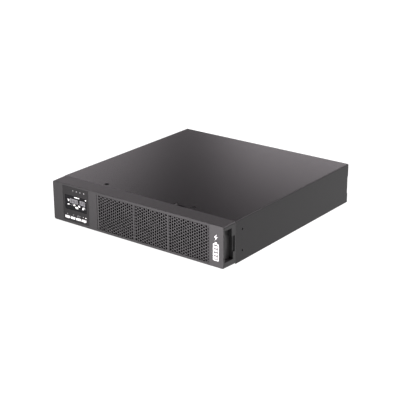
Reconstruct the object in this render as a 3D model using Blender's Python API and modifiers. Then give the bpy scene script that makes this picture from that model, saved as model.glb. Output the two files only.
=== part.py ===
"""Rack-mount uninterruptible power supply, two rack units high.

A sheet-metal case holds a power board, two rear fans and the rear sockets. A plastic
bezel with a perforated grille, two side latches and a pull-out display clips on the
front, and a tray of four sealed batteries slides out behind it.

Frame: metres, +Z up, +Y to the rear, +X to the right as seen from the front. The origin
is on the surface that the case stands on, in the middle of its length and its width.
"""

import math

import bmesh
import bpy
from mathutils import Matrix, Vector

MM = 0.001

# Driving dimensions.
WIDTH = 438 * MM
HEIGHT = 86.5 * MM
DEPTH = 450 * MM
BEZEL_DEPTH = 37 * MM
BEZEL_DRAFT = 2 * MM
SHEET = 1.2 * MM
GAP = 0.3 * MM

HALF = WIDTH / 2
FRONT = -DEPTH / 2
JOINT = FRONT + BEZEL_DEPTH
REAR = DEPTH / 2
MIDDLE = HEIGHT / 2

# Bezel.
BEZEL_FACE = FRONT + 0.6 * MM
BEZEL_WALL = 2.5 * MM
GRILLE_FACE = BEZEL_FACE + 1.3 * MM
GRILLE_SHEET = 1.2 * MM
WINDOW_LOW, WINDOW_HIGH = 6.3 * MM, 80.2 * MM
WINDOWS = ((-98 * MM, -3.1 * MM), (0.9 * MM, 83.5 * MM), (87.5 * MM, 183 * MM))
END_PLATE_LEFT = 186.5 * MM
GRIP_Y = (FRONT + 4 * MM, FRONT + 24.5 * MM)
GRIP_Z = (13 * MM, 77 * MM)
GRIP_TOE = (FRONT + 28.7 * MM, 26 * MM)
GRIP_DEPTH = 9 * MM
LATCH_Y = (FRONT + 24.9 * MM, FRONT + 32.9 * MM)
LATCH_Z = (30.6 * MM, 58.4 * MM)
PRONG_HEIGHTS = (20 * MM, 66 * MM)
TONGUE_X, SLOT_END_X = 71 * MM, 99 * MM

# Display module.
DISPLAY_SIZE = 72 * MM
DISPLAY_X, DISPLAY_Z = -156 * MM, 44.5 * MM
DISPLAY_DEPTH = 20 * MM
SCREEN_LOW = (-185.6 * MM, 32 * MM)
SCREEN_HIGH = (-127 * MM, 63.5 * MM)
INDICATORS_X = [(-163.2 + 10 * i) * MM for i in range(4)]
INDICATORS_Z = 74.4 * MM
BUTTONS_X = [(-180.6 + 15.1 * i) * MM for i in range(4)]
BUTTONS_Z = 14.8 * MM
BUTTON_SIZE = (13.4 * MM, 5.8 * MM)

# Battery pack. Each battery lies on its side, with its terminals towards the middle.
BATTERY = (151 * MM, 94 * MM, 65 * MM)
BATTERY_GAP = 0.5 * MM
TERMINAL_SPACE = 10 * MM
TRAY_LEFT = -97.5 * MM
TRAY_FLOOR = 2 * MM
PANEL_FACE = JOINT + 0.8 * MM
TRAY_PLATE_FACE = PANEL_FACE - GAP - SHEET
TRAY_RIGHT = TRAY_LEFT + 2 * SHEET + 2 * BATTERY[0] + 3 * BATTERY_GAP
TRAY_REAR = PANEL_FACE + 2 * BATTERY[1] + TERMINAL_SPACE + 3 * BATTERY_GAP
BAY_TOP = 73 * MM
PLUG_X, PLUG_Z = 55 * MM, 35 * MM
HANDLE_Z = 52 * MM
HANDLE_Y = TRAY_PLATE_FACE - 4.5 * MM
HANDLE_HALF = 40 * MM
HANDLE_DROP = 22 * MM
HANDLE_WIRE = 1.8 * MM
THUMB_SCREWS_X = (-60 * MM, 170 * MM)
THUMB_SCREWS_Z = 78 * MM

# Rear panel and what it carries.
PANEL_REAR = REAR - 2 * MM
FAN_SIZE, FAN_DEPTH = 80 * MM, 25 * MM
FANS_X = (84 * MM, 168 * MM)
OUTLET_COLUMNS = (20 * MM, -14 * MM, -48 * MM)
OUTLET_ROWS = (62 * MM, 24 * MM)
INLET_X, INLET_Z = -86 * MM, 62 * MM
BREAKER_Z = 24 * MM
FLANGE = (32 * MM, 27 * MM)
SOCKET = (27 * MM, 20 * MM)
SLOT_X, SLOT_Z, SLOT = -160 * MM, 62 * MM, (100 * MM, 36 * MM)
SERIAL_X, USB_X, EPO_X, PORTS_Z = -190 * MM, -160 * MM, -141 * MM, 22 * MM
BATTERY_PORT_X, BATTERY_PORT = -118 * MM, (18 * MM, 34 * MM)

# Inside the case.
BOARD_Z, BOARD = 10 * MM, 1.6 * MM
BOARD_TOP = BOARD_Z + BOARD + GAP
BOARD_FRONT, BOARD_REAR = TRAY_REAR + 14 * MM, 193 * MM

SCREWS_X, SCREWS_Y = 111 * MM, JOINT + 10 * MM
EAR_HOLES_Y, EAR_HOLES_Z = JOINT + 22 * MM, (20.4 * MM, 63.8 * MM)
DIMPLES_Y, DIMPLES_Z = [JOINT + y * MM for y in (89, 238, 354)], 8 * MM

# Turns an outline drawn in X and Y so that it stands across the named axis.
ACROSS = {
    "X": Matrix(((0, 0, 1, 0), (1, 0, 0, 0), (0, 1, 0, 0), (0, 0, 0, 1))),
    "Y": Matrix(((1, 0, 0, 0), (0, 0, -1, 0), (0, 1, 0, 0), (0, 0, 0, 1))),
    "Z": Matrix.Identity(4),
}
ALONG = {
    "X": Matrix.Rotation(math.pi / 2, 4, "Y"),
    "Y": Matrix.Rotation(-math.pi / 2, 4, "X"),
    "Z": Matrix.Identity(4),
}

for old in list(bpy.data.objects):
    bpy.data.objects.remove(old, do_unlink=True)
PARTS = bpy.data.collections.new("uninterruptible_power_supply")
TOOLS = bpy.data.collections.new("cutters_and_joiners")
for collection in (PARTS, TOOLS):
    bpy.context.scene.collection.children.link(collection)
BODIES = {}


# ---------------------------------------------------------------- materials


def material(name, colour, roughness, metallic=0.0):
    made = bpy.data.materials.new(name)
    made.use_nodes = True
    shader = made.node_tree.nodes["Principled BSDF"]
    shader.inputs["Base Color"].default_value = (*colour, 1)
    shader.inputs["Roughness"].default_value = roughness
    shader.inputs["Metallic"].default_value = metallic
    return made


PAINT = material("painted_steel", (0.075, 0.07, 0.073), 0.5)
BEZEL = material("bezel_plastic", (0.1, 0.097, 0.098), 0.55)
END_PLATE = material("end_plate_plastic", (0.15, 0.147, 0.147), 0.5)
DARK_PLASTIC = material("display_plastic", (0.06, 0.057, 0.06), 0.4)
GLASS = material("screen_glass", (0.02, 0.022, 0.03), 0.1)
WHITE = material("button_white", (0.9, 0.9, 0.9), 0.35)
CLEAR = material("light_pipe", (0.75, 0.78, 0.75), 0.2)
CIRCUIT = material("circuit_board", (0.02, 0.16, 0.06), 0.45)
ALUMINIUM = material("heat_sink_aluminium", (0.72, 0.72, 0.73), 0.35, 1.0)
STEEL = material("zinc_steel", (0.62, 0.62, 0.6), 0.35, 1.0)
COPPER = material("winding", (0.6, 0.27, 0.1), 0.35, 0.8)
BLACK_PLASTIC = material("socket_plastic", (0.02, 0.02, 0.021), 0.45)
CELL = material("battery_case", (0.05, 0.05, 0.055), 0.6)
SLEEVE = material("capacitor_sleeve", (0.03, 0.05, 0.16), 0.4)
GREEN_PLASTIC = material("terminal_plastic", (0.03, 0.33, 0.12), 0.45)


# ------------------------------------------------------------------ helpers


def spanning(low, high):
    """The matrix that turns a unit cube into the box from low to high."""
    low, high = Vector(low), Vector(high)
    return Matrix.Translation((low + high) / 2) @ Matrix.Diagonal((*(high - low), 1))


def add_box(bm, low, high):
    return bmesh.ops.create_cube(bm, size=1, matrix=spanning(low, high))["verts"]


def add_cylinder(bm, centre, axis, radius, length, sides=24, end_radius=None):
    bmesh.ops.create_cone(
        bm,
        cap_ends=True,
        segments=sides,
        radius1=radius,
        radius2=radius if end_radius is None else end_radius,
        depth=length,
        matrix=Matrix.Translation(centre) @ ALONG[axis],
    )


def body(name, at):
    """An empty on the joint's axis, which carries the pieces of one moving body."""
    empty = bpy.data.objects.new(name + "_body", None)
    empty.location = at
    PARTS.objects.link(empty)
    BODIES[name] = empty
    return empty


def centre_origin(obj, at=None):
    """Moves the object's origin to at, or to the middle of its own box, in place."""
    if at is None:
        corners = [Vector(c) for c in obj.bound_box]
        at = sum(corners, Vector()) / 8
    obj.data.transform(Matrix.Translation(-Vector(at)))
    obj.location = at


def finish(bm, name, finish_material=None, rides="", origin=None, smooth=False):
    """A named piece from bm. A piece with no material is a cutter or a joiner."""
    bmesh.ops.recalc_face_normals(bm, faces=bm.faces)
    mesh = bpy.data.meshes.new(name)
    bm.to_mesh(mesh)
    bm.free()
    obj = bpy.data.objects.new(name, mesh)
    if finish_material is None:
        TOOLS.objects.link(obj)
        obj.hide_render = True
        obj.display_type = "WIRE"
        return obj
    PARTS.objects.link(obj)
    mesh.materials.append(finish_material)
    centre_origin(obj, origin)
    if smooth:
        mesh.shade_smooth()
        mesh.set_sharp_from_angle(angle=math.radians(40))
    if rides:
        obj.parent = BODIES[rides]
        obj.location -= BODIES[rides].location
    return obj


def block(name, low, high, finish_material=None, rides="", bevel=0.0, origin=None):
    bm = bmesh.new()
    add_box(bm, low, high)
    obj = finish(bm, name, finish_material, rides, origin)
    if bevel:
        rounding = obj.modifiers.new("rounded_edges", "BEVEL")
        rounding.width = bevel
        rounding.segments = 1
    return obj


def blocks(name, boxes):
    """One tool made of several separate boxes, each given by its two corners."""
    bm = bmesh.new()
    for low, high in boxes:
        add_box(bm, low, high)
    return finish(bm, name)


def extruded(bm, outlines, axis, low, high):
    """Adds to bm a flat outline, with the holes inside it, from low to high along an axis."""
    curve = bpy.data.curves.new("outline", "CURVE")
    curve.dimensions = "2D"
    curve.fill_mode = "BOTH"
    curve.extrude = (high - low) / 2
    for outline in outlines:
        spline = curve.splines.new("POLY")
        spline.points.add(len(outline) - 1)
        for point, (x, y) in zip(spline.points, outline):
            point.co = (x, y, 0, 1)
        spline.use_cyclic_u = True
    guide = bpy.data.objects.new("outline", curve)
    TOOLS.objects.link(guide)
    graph = bpy.context.evaluated_depsgraph_get()
    mesh = bpy.data.meshes.new_from_object(guide.evaluated_get(graph))
    offset = Vector((0, 0, 0))
    offset["XYZ".index(axis)] = (low + high) / 2
    mesh.transform(Matrix.Translation(offset) @ ACROSS[axis])
    before = set(bm.verts)
    bm.from_mesh(mesh)
    fresh = [v for v in bm.verts if v not in before]
    bmesh.ops.remove_doubles(bm, verts=fresh, dist=0.001 * MM)
    bpy.data.objects.remove(guide, do_unlink=True)


def extrusion(name, outlines, axis, low, high, finish_material=None, rides="", origin=None):
    bm = bmesh.new()
    extruded(bm, outlines, axis, low, high)
    return finish(bm, name, finish_material, rides, origin)


def cut(obj, tool):
    boolean(obj, tool, "DIFFERENCE")


def join(obj, tool):
    boolean(obj, tool, "UNION")


def boolean(obj, tool, operation):
    modifier = obj.modifiers.new(tool.name, "BOOLEAN")
    modifier.operation = operation
    modifier.solver = "EXACT"
    modifier.object = tool


def applied_mesh(obj):
    """The object's mesh with its modifiers applied, for copies that share it."""
    graph = bpy.context.evaluated_depsgraph_get()
    return bpy.data.meshes.new_from_object(obj.evaluated_get(graph))


def rectangle(centre, size):
    (x, y), (w, h) = centre, (size[0] / 2, size[1] / 2)
    return [(x - w, y - h), (x + w, y - h), (x + w, y + h), (x - w, y + h)]


def arc(centre, radius, start, end, steps):
    """Points on a circle from one angle to another, in degrees."""
    angles = (math.radians(start + (end - start) * i / steps) for i in range(steps + 1))
    return [(centre[0] + radius * math.cos(a), centre[1] + radius * math.sin(a)) for a in angles]


def rounded_rectangle(centre, size, radius, steps=3):
    (x, y), (w, h) = centre, (size[0] / 2 - radius, size[1] / 2 - radius)
    corners = ((x + w, y + h, 0), (x - w, y + h, 90), (x - w, y - h, 180), (x + w, y - h, 270))
    points = []
    for cx, cy, start in corners:
        points += arc((cx, cy), radius, start, start + 90, steps)
    return points


def circle(centre, radius, sides=16):
    return arc(centre, radius, 0, 360, sides)[:-1]


# ------------------------------------------------------------- case and rails


def case_channel(half_width, low, high, thickness, bend, open_top):
    """A bent sheet's U-shaped section, across Y, with round bends."""
    sign = 1 if open_top else -1
    floor = low if open_top else high
    wall_end = high if open_top else low
    outer = [(-half_width, wall_end)]
    outer += [
        (x, floor + sign * (bend - y))
        for x, y in arc((-half_width + bend, 0), bend, 180, 90, 3)
    ]
    outer += [
        (x, floor + sign * (bend - y))
        for x, y in arc((half_width - bend, 0), bend, 90, 0, 3)
    ]
    outer.append((half_width, wall_end))
    inner_bend = bend - thickness
    inner = [(half_width - thickness, wall_end)]
    inner += [
        (x, floor + sign * (bend - y))
        for x, y in arc((half_width - bend, 0), inner_bend, 0, 90, 2)
    ]
    inner += [
        (x, floor + sign * (bend - y))
        for x, y in arc((-half_width + bend, 0), inner_bend, 90, 180, 2)
    ]
    inner.append((-half_width + thickness, wall_end))
    return outer + inner


def top_cover():
    """The top and both sides, bent from one sheet."""
    section = case_channel(HALF, 0, HEIGHT, SHEET, 2 * MM, open_top=False)
    cover = extrusion("top_cover", [section], "Y", JOINT + 0.1 * MM, REAR, PAINT)
    bm = bmesh.new()
    for side in (-1, 1):
        add_cylinder(
            bm, (side * SCREWS_X, SCREWS_Y, HEIGHT), "Z", 4.6 * MM, 6 * MM, sides=20
        )
        for z in EAR_HOLES_Z:
            add_cylinder(bm, (side * HALF, EAR_HOLES_Y, z), "X", 2 * MM, 6 * MM, sides=24)
        for y in DIMPLES_Y:
            dimple = (side * (HALF - 0.1 * MM), y, DIMPLES_Z)
            add_cylinder(bm, dimple, "X", 2.8 * MM, 1 * MM, sides=12)
        notch = sorted((side * (HALF - 4 * MM), side * (HALF + 1 * MM)))
        add_box(bm, (notch[0], REAR - 1.6 * MM, 20 * MM), (notch[1], REAR + 1 * MM, 59 * MM))
    slot_front, slot_rear, tongue_rear = JOINT - 2 * MM, JOINT + 2.4 * MM, JOINT + 6 * MM
    radius = 5 * MM
    notch = [(TONGUE_X - radius, slot_front), (SLOT_END_X, slot_front), (SLOT_END_X, slot_rear)]
    notch.append((TONGUE_X + radius, slot_rear))
    notch += arc((TONGUE_X, tongue_rear - radius + 3 * MM), radius, 0, 180, 8)
    extruded(bm, [notch], "Z", HEIGHT - 3 * MM, HEIGHT + 3 * MM)
    cut(cover, finish(bm, "cover_openings"))


def base_pan():
    """The floor, with low side flanges and the power board's standoffs."""
    section = case_channel(HALF - SHEET - 0.4 * MM, 0, 12 * MM, SHEET, 2 * MM, open_top=True)
    pan = extrusion("base_pan", [section], "Y", JOINT + 0.5 * MM, REAR, STEEL)
    bm = bmesh.new()
    posts = [(x * MM, y * MM) for x in (-195, -110) for y in (-150, 0)]
    posts += [(x * MM, y * MM) for x in (-195, 0, 195) for y in (60, 180)]
    for x, y in posts:
        add_cylinder(bm, (x, y, BOARD_Z / 2), "Z", 3 * MM, BOARD_Z - 2 * GAP, sides=8)
    join(pan, finish(bm, "standoffs"))


def front_panel():
    """The case's front wall behind the bezel, with the battery bay's opening."""
    low, high = SHEET + GAP, HEIGHT - SHEET - 0.4 * MM
    rear = PANEL_FACE + SHEET
    flange_end = PANEL_FACE + 17 * MM
    section = [
        (PANEL_FACE, low),
        (rear, low),
        (rear, high - SHEET),
        (flange_end, high - SHEET),
        (flange_end, high),
        (PANEL_FACE, high),
    ]
    # The bezel's prongs and latch arms pass between this wall's edges and the cover.
    edge = HALF - 7 * MM
    panel = extrusion("front_panel", [section], "X", -edge, edge, STEEL)
    tools = [
        ((TRAY_LEFT - 1 * MM, -1, 0), (TRAY_RIGHT + 1 * MM, 1, BAY_TOP)),
        # The display's cable port.
        ((-170 * MM, -1, 35 * MM), (-142 * MM, 1, 55 * MM)),
    ]
    cut(panel, blocks("front_panel_openings", tools))
    bm = bmesh.new()
    for x in (-SCREWS_X, SCREWS_X):
        add_cylinder(bm, (x, SCREWS_Y, high), "Z", 2.4 * MM, 8 * MM, sides=12)
    for x in THUMB_SCREWS_X:
        add_cylinder(bm, (x, PANEL_FACE, THUMB_SCREWS_Z), "Y", 2.4 * MM, 6 * MM, sides=12)
    cut(panel, finish(bm, "front_panel_screw_holes"))


def ring_slot(centre, inner, outer, start, end, steps=5):
    return arc(centre, outer, start, end, steps) + arc(centre, inner, end, start, steps)


def rear_panel():
    """The rear wall: a finger guard is stamped in front of each fan."""
    edge = HALF - SHEET - 0.4 * MM
    low, high = SHEET + GAP, HEIGHT - SHEET - 0.4 * MM
    inner = edge - SHEET - GAP
    step = 12.4 * MM
    outline = [(-inner, low), (inner, low), (inner, step), (edge, step), (edge, high)]
    outline += [(-edge, high), (-edge, step), (-inner, step)]
    holes = []
    for x in FANS_X:
        for inner_radius in (16, 23, 30):
            for quarter in range(4):
                start = 8 + 90 * quarter
                holes.append(
                    ring_slot(
                        (x, MIDDLE), inner_radius * MM, (inner_radius + 4.5) * MM, start, start + 74
                    )
                )
    opening = (SOCKET[0] + 2 * GAP, SOCKET[1] + 2 * GAP)
    holes += [rectangle((x, z), opening) for x in OUTLET_COLUMNS for z in OUTLET_ROWS]
    holes.append(rectangle((INLET_X, INLET_Z), opening))
    holes.append(circle((INLET_X, BREAKER_Z), 7 * MM, 16))
    holes.append(rectangle((SLOT_X, SLOT_Z), (SLOT[0] - 10 * MM, SLOT[1] - 10 * MM)))
    holes.append(rectangle((SERIAL_X, PORTS_Z), (20 * MM, 11 * MM)))
    holes.append(rectangle((USB_X, PORTS_Z), (12.8 * MM, 11.8 * MM)))
    holes.append(rectangle((EPO_X, PORTS_Z), (12.8 * MM, 9.8 * MM)))
    holes.append(rectangle((BATTERY_PORT_X, PORTS_Z), [s - 2 * MM for s in BATTERY_PORT]))
    extrusion("rear_panel", [outline, *holes], "Y", PANEL_REAR - SHEET, PANEL_REAR, PAINT)


def cover_screws():
    """Two countersunk screws, which hold the cover to the front panel's flange."""
    for side, name in ((-1, "left"), (1, "right")):
        bm = bmesh.new()
        x, top = side * SCREWS_X, HEIGHT - 0.1 * MM
        add_cylinder(bm, (x, SCREWS_Y, top - 0.65 * MM), "Z", 4.2 * MM, 1.3 * MM, sides=20)
        screw = finish(bm, "cover_screw_" + name, PAINT)
        bm = bmesh.new()
        add_cylinder(bm, (x, SCREWS_Y, top - 5 * MM), "Z", 2 * MM, 9 * MM, sides=12)
        join(screw, finish(bm, "cover_screw_shank_" + name))
        for arm, web in ((2.4 * MM, 0.6 * MM), (0.6 * MM, 2.4 * MM)):
            slot = block(
                "cross_recess_" + name,
                (x - arm, SCREWS_Y - web, top - 0.8 * MM),
                (x + arm, SCREWS_Y + web, top + 1 * MM),
            )
            cut(screw, slot)


# ----------------------------------------------------------------- bezel


def tapered_shell(bm, half_width, inset, front, rear):
    """A box whose top and bottom draw in towards its front by the bezel's draft."""
    verts = add_box(bm, (-half_width, front, inset), (half_width, rear, HEIGHT - inset))
    slope = BEZEL_DRAFT / (JOINT - FRONT)
    for vert in verts:
        draft = (JOINT - vert.co.y) * slope
        vert.co.z += draft if vert.co.z < MIDDLE else -draft
    return verts


def bezel_frame():
    bm = bmesh.new()
    tapered_shell(bm, HALF, 0, BEZEL_FACE, JOINT)
    long_edges = [e for e in bm.edges if abs(e.verts[0].co.y - e.verts[1].co.y) > 10 * MM]
    bmesh.ops.bevel(
        bm, geom=long_edges, offset=2.6 * MM, segments=3, profile=0.5, affect="EDGES"
    )
    frame = finish(bm, "bezel_frame", BEZEL, "bezel")

    bm = bmesh.new()
    tapered_shell(
        bm, HALF - BEZEL_WALL, BEZEL_WALL, BEZEL_FACE + BEZEL_WALL, JOINT + 5 * MM
    )
    cut(frame, finish(bm, "bezel_inside"))

    bm = bmesh.new()
    toe_walls = []
    guide = DISPLAY_SIZE + 0.6 * MM
    centre = (DISPLAY_X, DISPLAY_Z)
    outer = rectangle(centre, (guide + 3.6 * MM, guide + 3.6 * MM))
    extruded(
        bm,
        [outer, rectangle(centre, (guide, guide))],
        "Y",
        BEZEL_FACE + 1 * MM,
        BEZEL_FACE + DISPLAY_DEPTH + 2 * MM,
    )
    for side in (-1, 1):
        pocket = sorted((side * (HALF - 0.5 * MM), side * (HALF - GRIP_DEPTH - 2 * MM)))
        add_box(
            bm,
            (pocket[0], GRIP_Y[0] - 2 * MM, GRIP_Z[0] - 2 * MM),
            (pocket[1], GRIP_Y[1] + 2 * MM, GRIP_Z[1] + 2 * MM),
        )
        toe_walls.append(
            (
                (pocket[0] + 0.1 * MM, GRIP_Y[1] + 1 * MM, GRIP_Z[0] - 1.9 * MM),
                (pocket[1] - 0.1 * MM, GRIP_TOE[0] + 2 * MM, GRIP_TOE[1] + 2 * MM),
            )
        )
        prong = sorted((side * 213.8 * MM, side * 217 * MM))
        for z in PRONG_HEIGHTS:
            add_box(
                bm,
                (prong[0], GRIP_Y[1] + 4 * MM, z - 4 * MM),
                (prong[1], JOINT + 9 * MM, z + 4 * MM),
            )
    radius = 4.4 * MM
    tongue = [(TONGUE_X + radius, JOINT - 8 * MM)]
    tongue += arc((TONGUE_X, JOINT + 4 * MM), radius, 0, 180, 8)
    tongue.append((TONGUE_X - radius, JOINT - 8 * MM))
    extruded(bm, [tongue], "Z", HEIGHT - SHEET, HEIGHT - 0.1 * MM)
    join(frame, finish(bm, "bezel_additions"))
    join(frame, blocks("grip_toe_walls", toe_walls))

    bm = bmesh.new()
    height = WINDOW_HIGH - WINDOW_LOW
    for left, right in WINDOWS:
        window = ((left + right) / 2, (WINDOW_LOW + WINDOW_HIGH) / 2)
        add_box(
            bm,
            (left, BEZEL_FACE - 5 * MM, window[1] - height / 2),
            (right, GRILLE_FACE - 0.2 * MM, window[1] + height / 2),
        )
    cut(frame, finish(bm, "grille_windows"))
    rebate_x, rebate_z = grille_box()
    rebate = (
        (rebate_x[0] - GAP, GRILLE_FACE - GAP, rebate_z[0] - GAP),
        (rebate_x[1] + GAP, BEZEL_FACE + BEZEL_WALL + 1 * MM, rebate_z[1] + GAP),
    )
    display = (
        (DISPLAY_X - guide / 2, BEZEL_FACE - 5 * MM, DISPLAY_Z - guide / 2),
        (DISPLAY_X + guide / 2, BEZEL_FACE + 6 * MM, DISPLAY_Z + guide / 2),
    )
    plate_seat = ((END_PLATE_LEFT, BEZEL_FACE - 5 * MM, -1), (1, FRONT + 1.8 * MM, 1))
    cut(frame, blocks("bezel_seats", [rebate, display, plate_seat]))
    grips, toes, latches = [], [], []
    for side in (-1, 1):
        grip = sorted((side * (HALF - GRIP_DEPTH), side * (HALF + 5 * MM)))
        grips.append(((grip[0], GRIP_Y[0], GRIP_Z[0]), (grip[1], GRIP_Y[1], GRIP_Z[1])))
        toes.append(((grip[0], GRIP_Y[0] + 5 * MM, GRIP_Z[0]), (grip[1], *GRIP_TOE)))
        latch = sorted((side * (HALF - 7 * MM), side * (HALF + 6 * MM)))
        latches.append(
            (
                (latch[0], GRIP_Y[1] - 1 * MM, LATCH_Z[0] - 0.5 * MM),
                (latch[1], LATCH_Y[1] + 0.5 * MM, LATCH_Z[1] + 0.5 * MM),
            )
        )
    cut(frame, blocks("grip_recesses", grips))
    cut(frame, blocks("grip_toes", toes))
    cut(frame, blocks("latch_windows", latches))


def grille_box():
    """The perforated sheet's extent in X and in Z."""
    margin = 1.7 * MM
    return (
        (WINDOWS[0][0] - margin, WINDOWS[2][1] + margin),
        (WINDOW_LOW - 1.4 * MM, WINDOW_HIGH + 1.4 * MM),
    )


def grille_mesh():
    """The perforated sheet. Its holes stand at twice the real pitch, with the same open area."""
    (left, right), (low, high) = grille_box()
    row_pitch = 12.5 * MM
    column_pitch = row_pitch * math.sqrt(3) / 2
    radius = 4.2 * MM
    outline = [(left, low), (right, low), (right, high), (left, high)]
    holes = []
    for bay_left, bay_right in WINDOWS:
        count = int((bay_right - bay_left - 2 * radius) / column_pitch) + 1
        first = (bay_left + bay_right - (count - 1) * column_pitch) / 2
        for column in range(count):
            rows = 6 - column % 2
            for row in range(rows):
                z = (WINDOW_LOW + WINDOW_HIGH) / 2 + (row - (rows - 1) / 2) * row_pitch
                holes.append(circle((first + column * column_pitch, z), radius, 6))
    extrusion(
        "grille_mesh",
        [outline, *holes],
        "Y",
        GRILLE_FACE,
        GRILLE_FACE + GRILLE_SHEET,
        BEZEL,
        "bezel",
    )


def end_plate():
    """The raised plate on the bezel's right end."""
    left, right = END_PLATE_LEFT + GAP, HALF - 0.2 * MM
    low, high = BEZEL_DRAFT + 0.4 * MM, HEIGHT - BEZEL_DRAFT - 0.4 * MM
    radius = 3.4 * MM
    outline = [(left, low)]
    outline += arc((right - radius, low + radius), radius, -90, 0, 4)
    outline += arc((right - radius, high - radius), radius, 0, 90, 4)
    outline.append((left, high))
    extrusion("end_plate", [outline], "Y", FRONT, FRONT + 1.5 * MM, END_PLATE, "bezel")


def bezel_latches():
    """A push tab at the rear of each grip, with the arm that reaches into the case."""
    for side, name in ((-1, "left"), (1, "right")):
        body_name = "latch_" + name
        pad = sorted((side * (HALF - 3.5 * MM), side * (HALF - 0.2 * MM)))
        arm = sorted((side * 214.6 * MM, side * 217 * MM))
        latch = block(
            "bezel_latch_" + name,
            (pad[0], LATCH_Y[0], LATCH_Z[0]),
            (pad[1], LATCH_Y[1], LATCH_Z[1]),
            BEZEL,
            body_name,
            origin=(side * HALF, LATCH_Y[0], (LATCH_Z[0] + LATCH_Z[1]) / 2),
        )
        join(
            latch,
            block(
                "latch_arm_" + name,
                (arm[0], LATCH_Y[0] + 2 * MM, 40.5 * MM),
                (arm[1], JOINT + 8 * MM, 48.5 * MM),
            ),
        )
        # The arm passes under the bezel's rear rim.
        rim = sorted((side * (HALF - BEZEL_WALL - GAP), side * HALF))
        cut(
            latch,
            block(
                "latch_rim_relief_" + name,
                (rim[0], LATCH_Y[1] - 0.01 * MM, 30 * MM),
                (rim[1], JOINT + 9 * MM, 60 * MM),
            ),
        )


# ---------------------------------------------------------------- display


def display_housing():
    half = DISPLAY_SIZE / 2
    front = BEZEL_FACE + 0.2 * MM
    low = (DISPLAY_X - half, front, DISPLAY_Z - half)
    high = (DISPLAY_X + half, front + DISPLAY_DEPTH, DISPLAY_Z + half)
    housing = block("display_housing", low, high, DARK_PLASTIC, "display", bevel=0.8 * MM)
    wall = 1.8 * MM
    inside = block(
        "display_inside",
        (low[0] + wall, front + wall, low[2] + wall),
        (high[0] - wall, high[1] + 5 * MM, high[2] - wall),
    )
    cut(housing, inside)
    bm = bmesh.new()
    centre = [(a + b) / 2 for a, b in zip(SCREEN_LOW, SCREEN_HIGH)]
    size = [b - a for a, b in zip(SCREEN_LOW, SCREEN_HIGH)]
    near, far = front - 2 * MM, front + wall + 1 * MM
    extruded(bm, [rectangle(centre, size)], "Y", near, far)
    for x in INDICATORS_X:
        extruded(bm, [circle((x, INDICATORS_Z), 1.5 * MM, 12)], "Y", near, far)
    clearance = 0.5 * MM
    for x in BUTTONS_X:
        pill = [s + clearance for s in BUTTON_SIZE]
        outline = rounded_rectangle((x, BUTTONS_Z), pill, pill[1] / 2 - 0.01 * MM, 3)
        extruded(bm, [outline], "Y", near, far)
    cut(housing, finish(bm, "display_openings"))


def display_screen():
    front = BEZEL_FACE + 0.4 * MM
    block(
        "display_screen",
        (SCREEN_LOW[0] + GAP, front, SCREEN_LOW[1] + GAP),
        (SCREEN_HIGH[0] - GAP, front + 2 * MM, SCREEN_HIGH[1] - GAP),
        GLASS,
        "display",
    )


def display_board():
    """The display's circuit board, with its panel and its key switches."""
    half = DISPLAY_SIZE / 2 - 2.4 * MM
    front = BEZEL_FACE + 8.5 * MM
    board = block(
        "display_board",
        (DISPLAY_X - half, front, DISPLAY_Z - half),
        (DISPLAY_X + half, front + BOARD, DISPLAY_Z + half),
        CIRCUIT,
        "display",
    )
    boxes = [
        (
            (SCREEN_LOW[0] - 1 * MM, BEZEL_FACE + 2.8 * MM, SCREEN_LOW[1] - 2 * MM),
            (SCREEN_HIGH[0] + 1 * MM, front + 0.5 * MM, SCREEN_HIGH[1] + 2 * MM),
        )
    ]
    for x in BUTTONS_X:
        boxes.append(
            (
                (x - 3 * MM, front - 2.2 * MM, BUTTONS_Z - 3 * MM),
                (x + 3 * MM, front + 0.5 * MM, BUTTONS_Z + 3 * MM),
            )
        )
    boxes.append(
        (
            (DISPLAY_X - 12 * MM, front + 1 * MM, DISPLAY_Z - 4 * MM),
            (DISPLAY_X + 12 * MM, front + 8 * MM, DISPLAY_Z + 4 * MM),
        )
    )
    join(board, blocks("display_components", boxes))


def indicator_light_pipe():
    """One clear moulding, with a lens behind each indicator hole."""
    back = BEZEL_FACE + 5 * MM
    pipe = block(
        "indicator_light_pipe",
        (INDICATORS_X[0] - 4 * MM, back - 1.5 * MM, INDICATORS_Z - 2.2 * MM),
        (INDICATORS_X[-1] + 4 * MM, back, INDICATORS_Z + 2.2 * MM),
        CLEAR,
        "display",
    )
    bm = bmesh.new()
    front = BEZEL_FACE + 0.3 * MM
    for x in INDICATORS_X:
        middle = (x, (front + back) / 2 - 0.3 * MM, INDICATORS_Z)
        add_cylinder(bm, middle, "Y", 1.2 * MM, back - front - 0.6 * MM, sides=12)
    join(pipe, finish(bm, "lenses"))


def buttons():
    for number, x in enumerate(BUTTONS_X, 1):
        front = BEZEL_FACE - 0.3 * MM
        outline = rounded_rectangle(
            (x, BUTTONS_Z), BUTTON_SIZE, BUTTON_SIZE[1] / 2 - 0.01 * MM, 4
        )
        rear = BEZEL_FACE + 4.6 * MM
        cap = extrusion(
            f"button_{number}",
            [outline],
            "Y",
            front,
            rear,
            WHITE,
            f"button_{number}",
            origin=(x, front, BUTTONS_Z),
        )
        rim = block(
            f"button_rim_{number}",
            (x - 7.2 * MM, BEZEL_FACE + 2.4 * MM, BUTTONS_Z - 3.6 * MM),
            (x + 7.2 * MM, BEZEL_FACE + 3.4 * MM, BUTTONS_Z + 3.6 * MM),
        )
        join(cap, rim)


# ----------------------------------------------------------- battery pack


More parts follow.
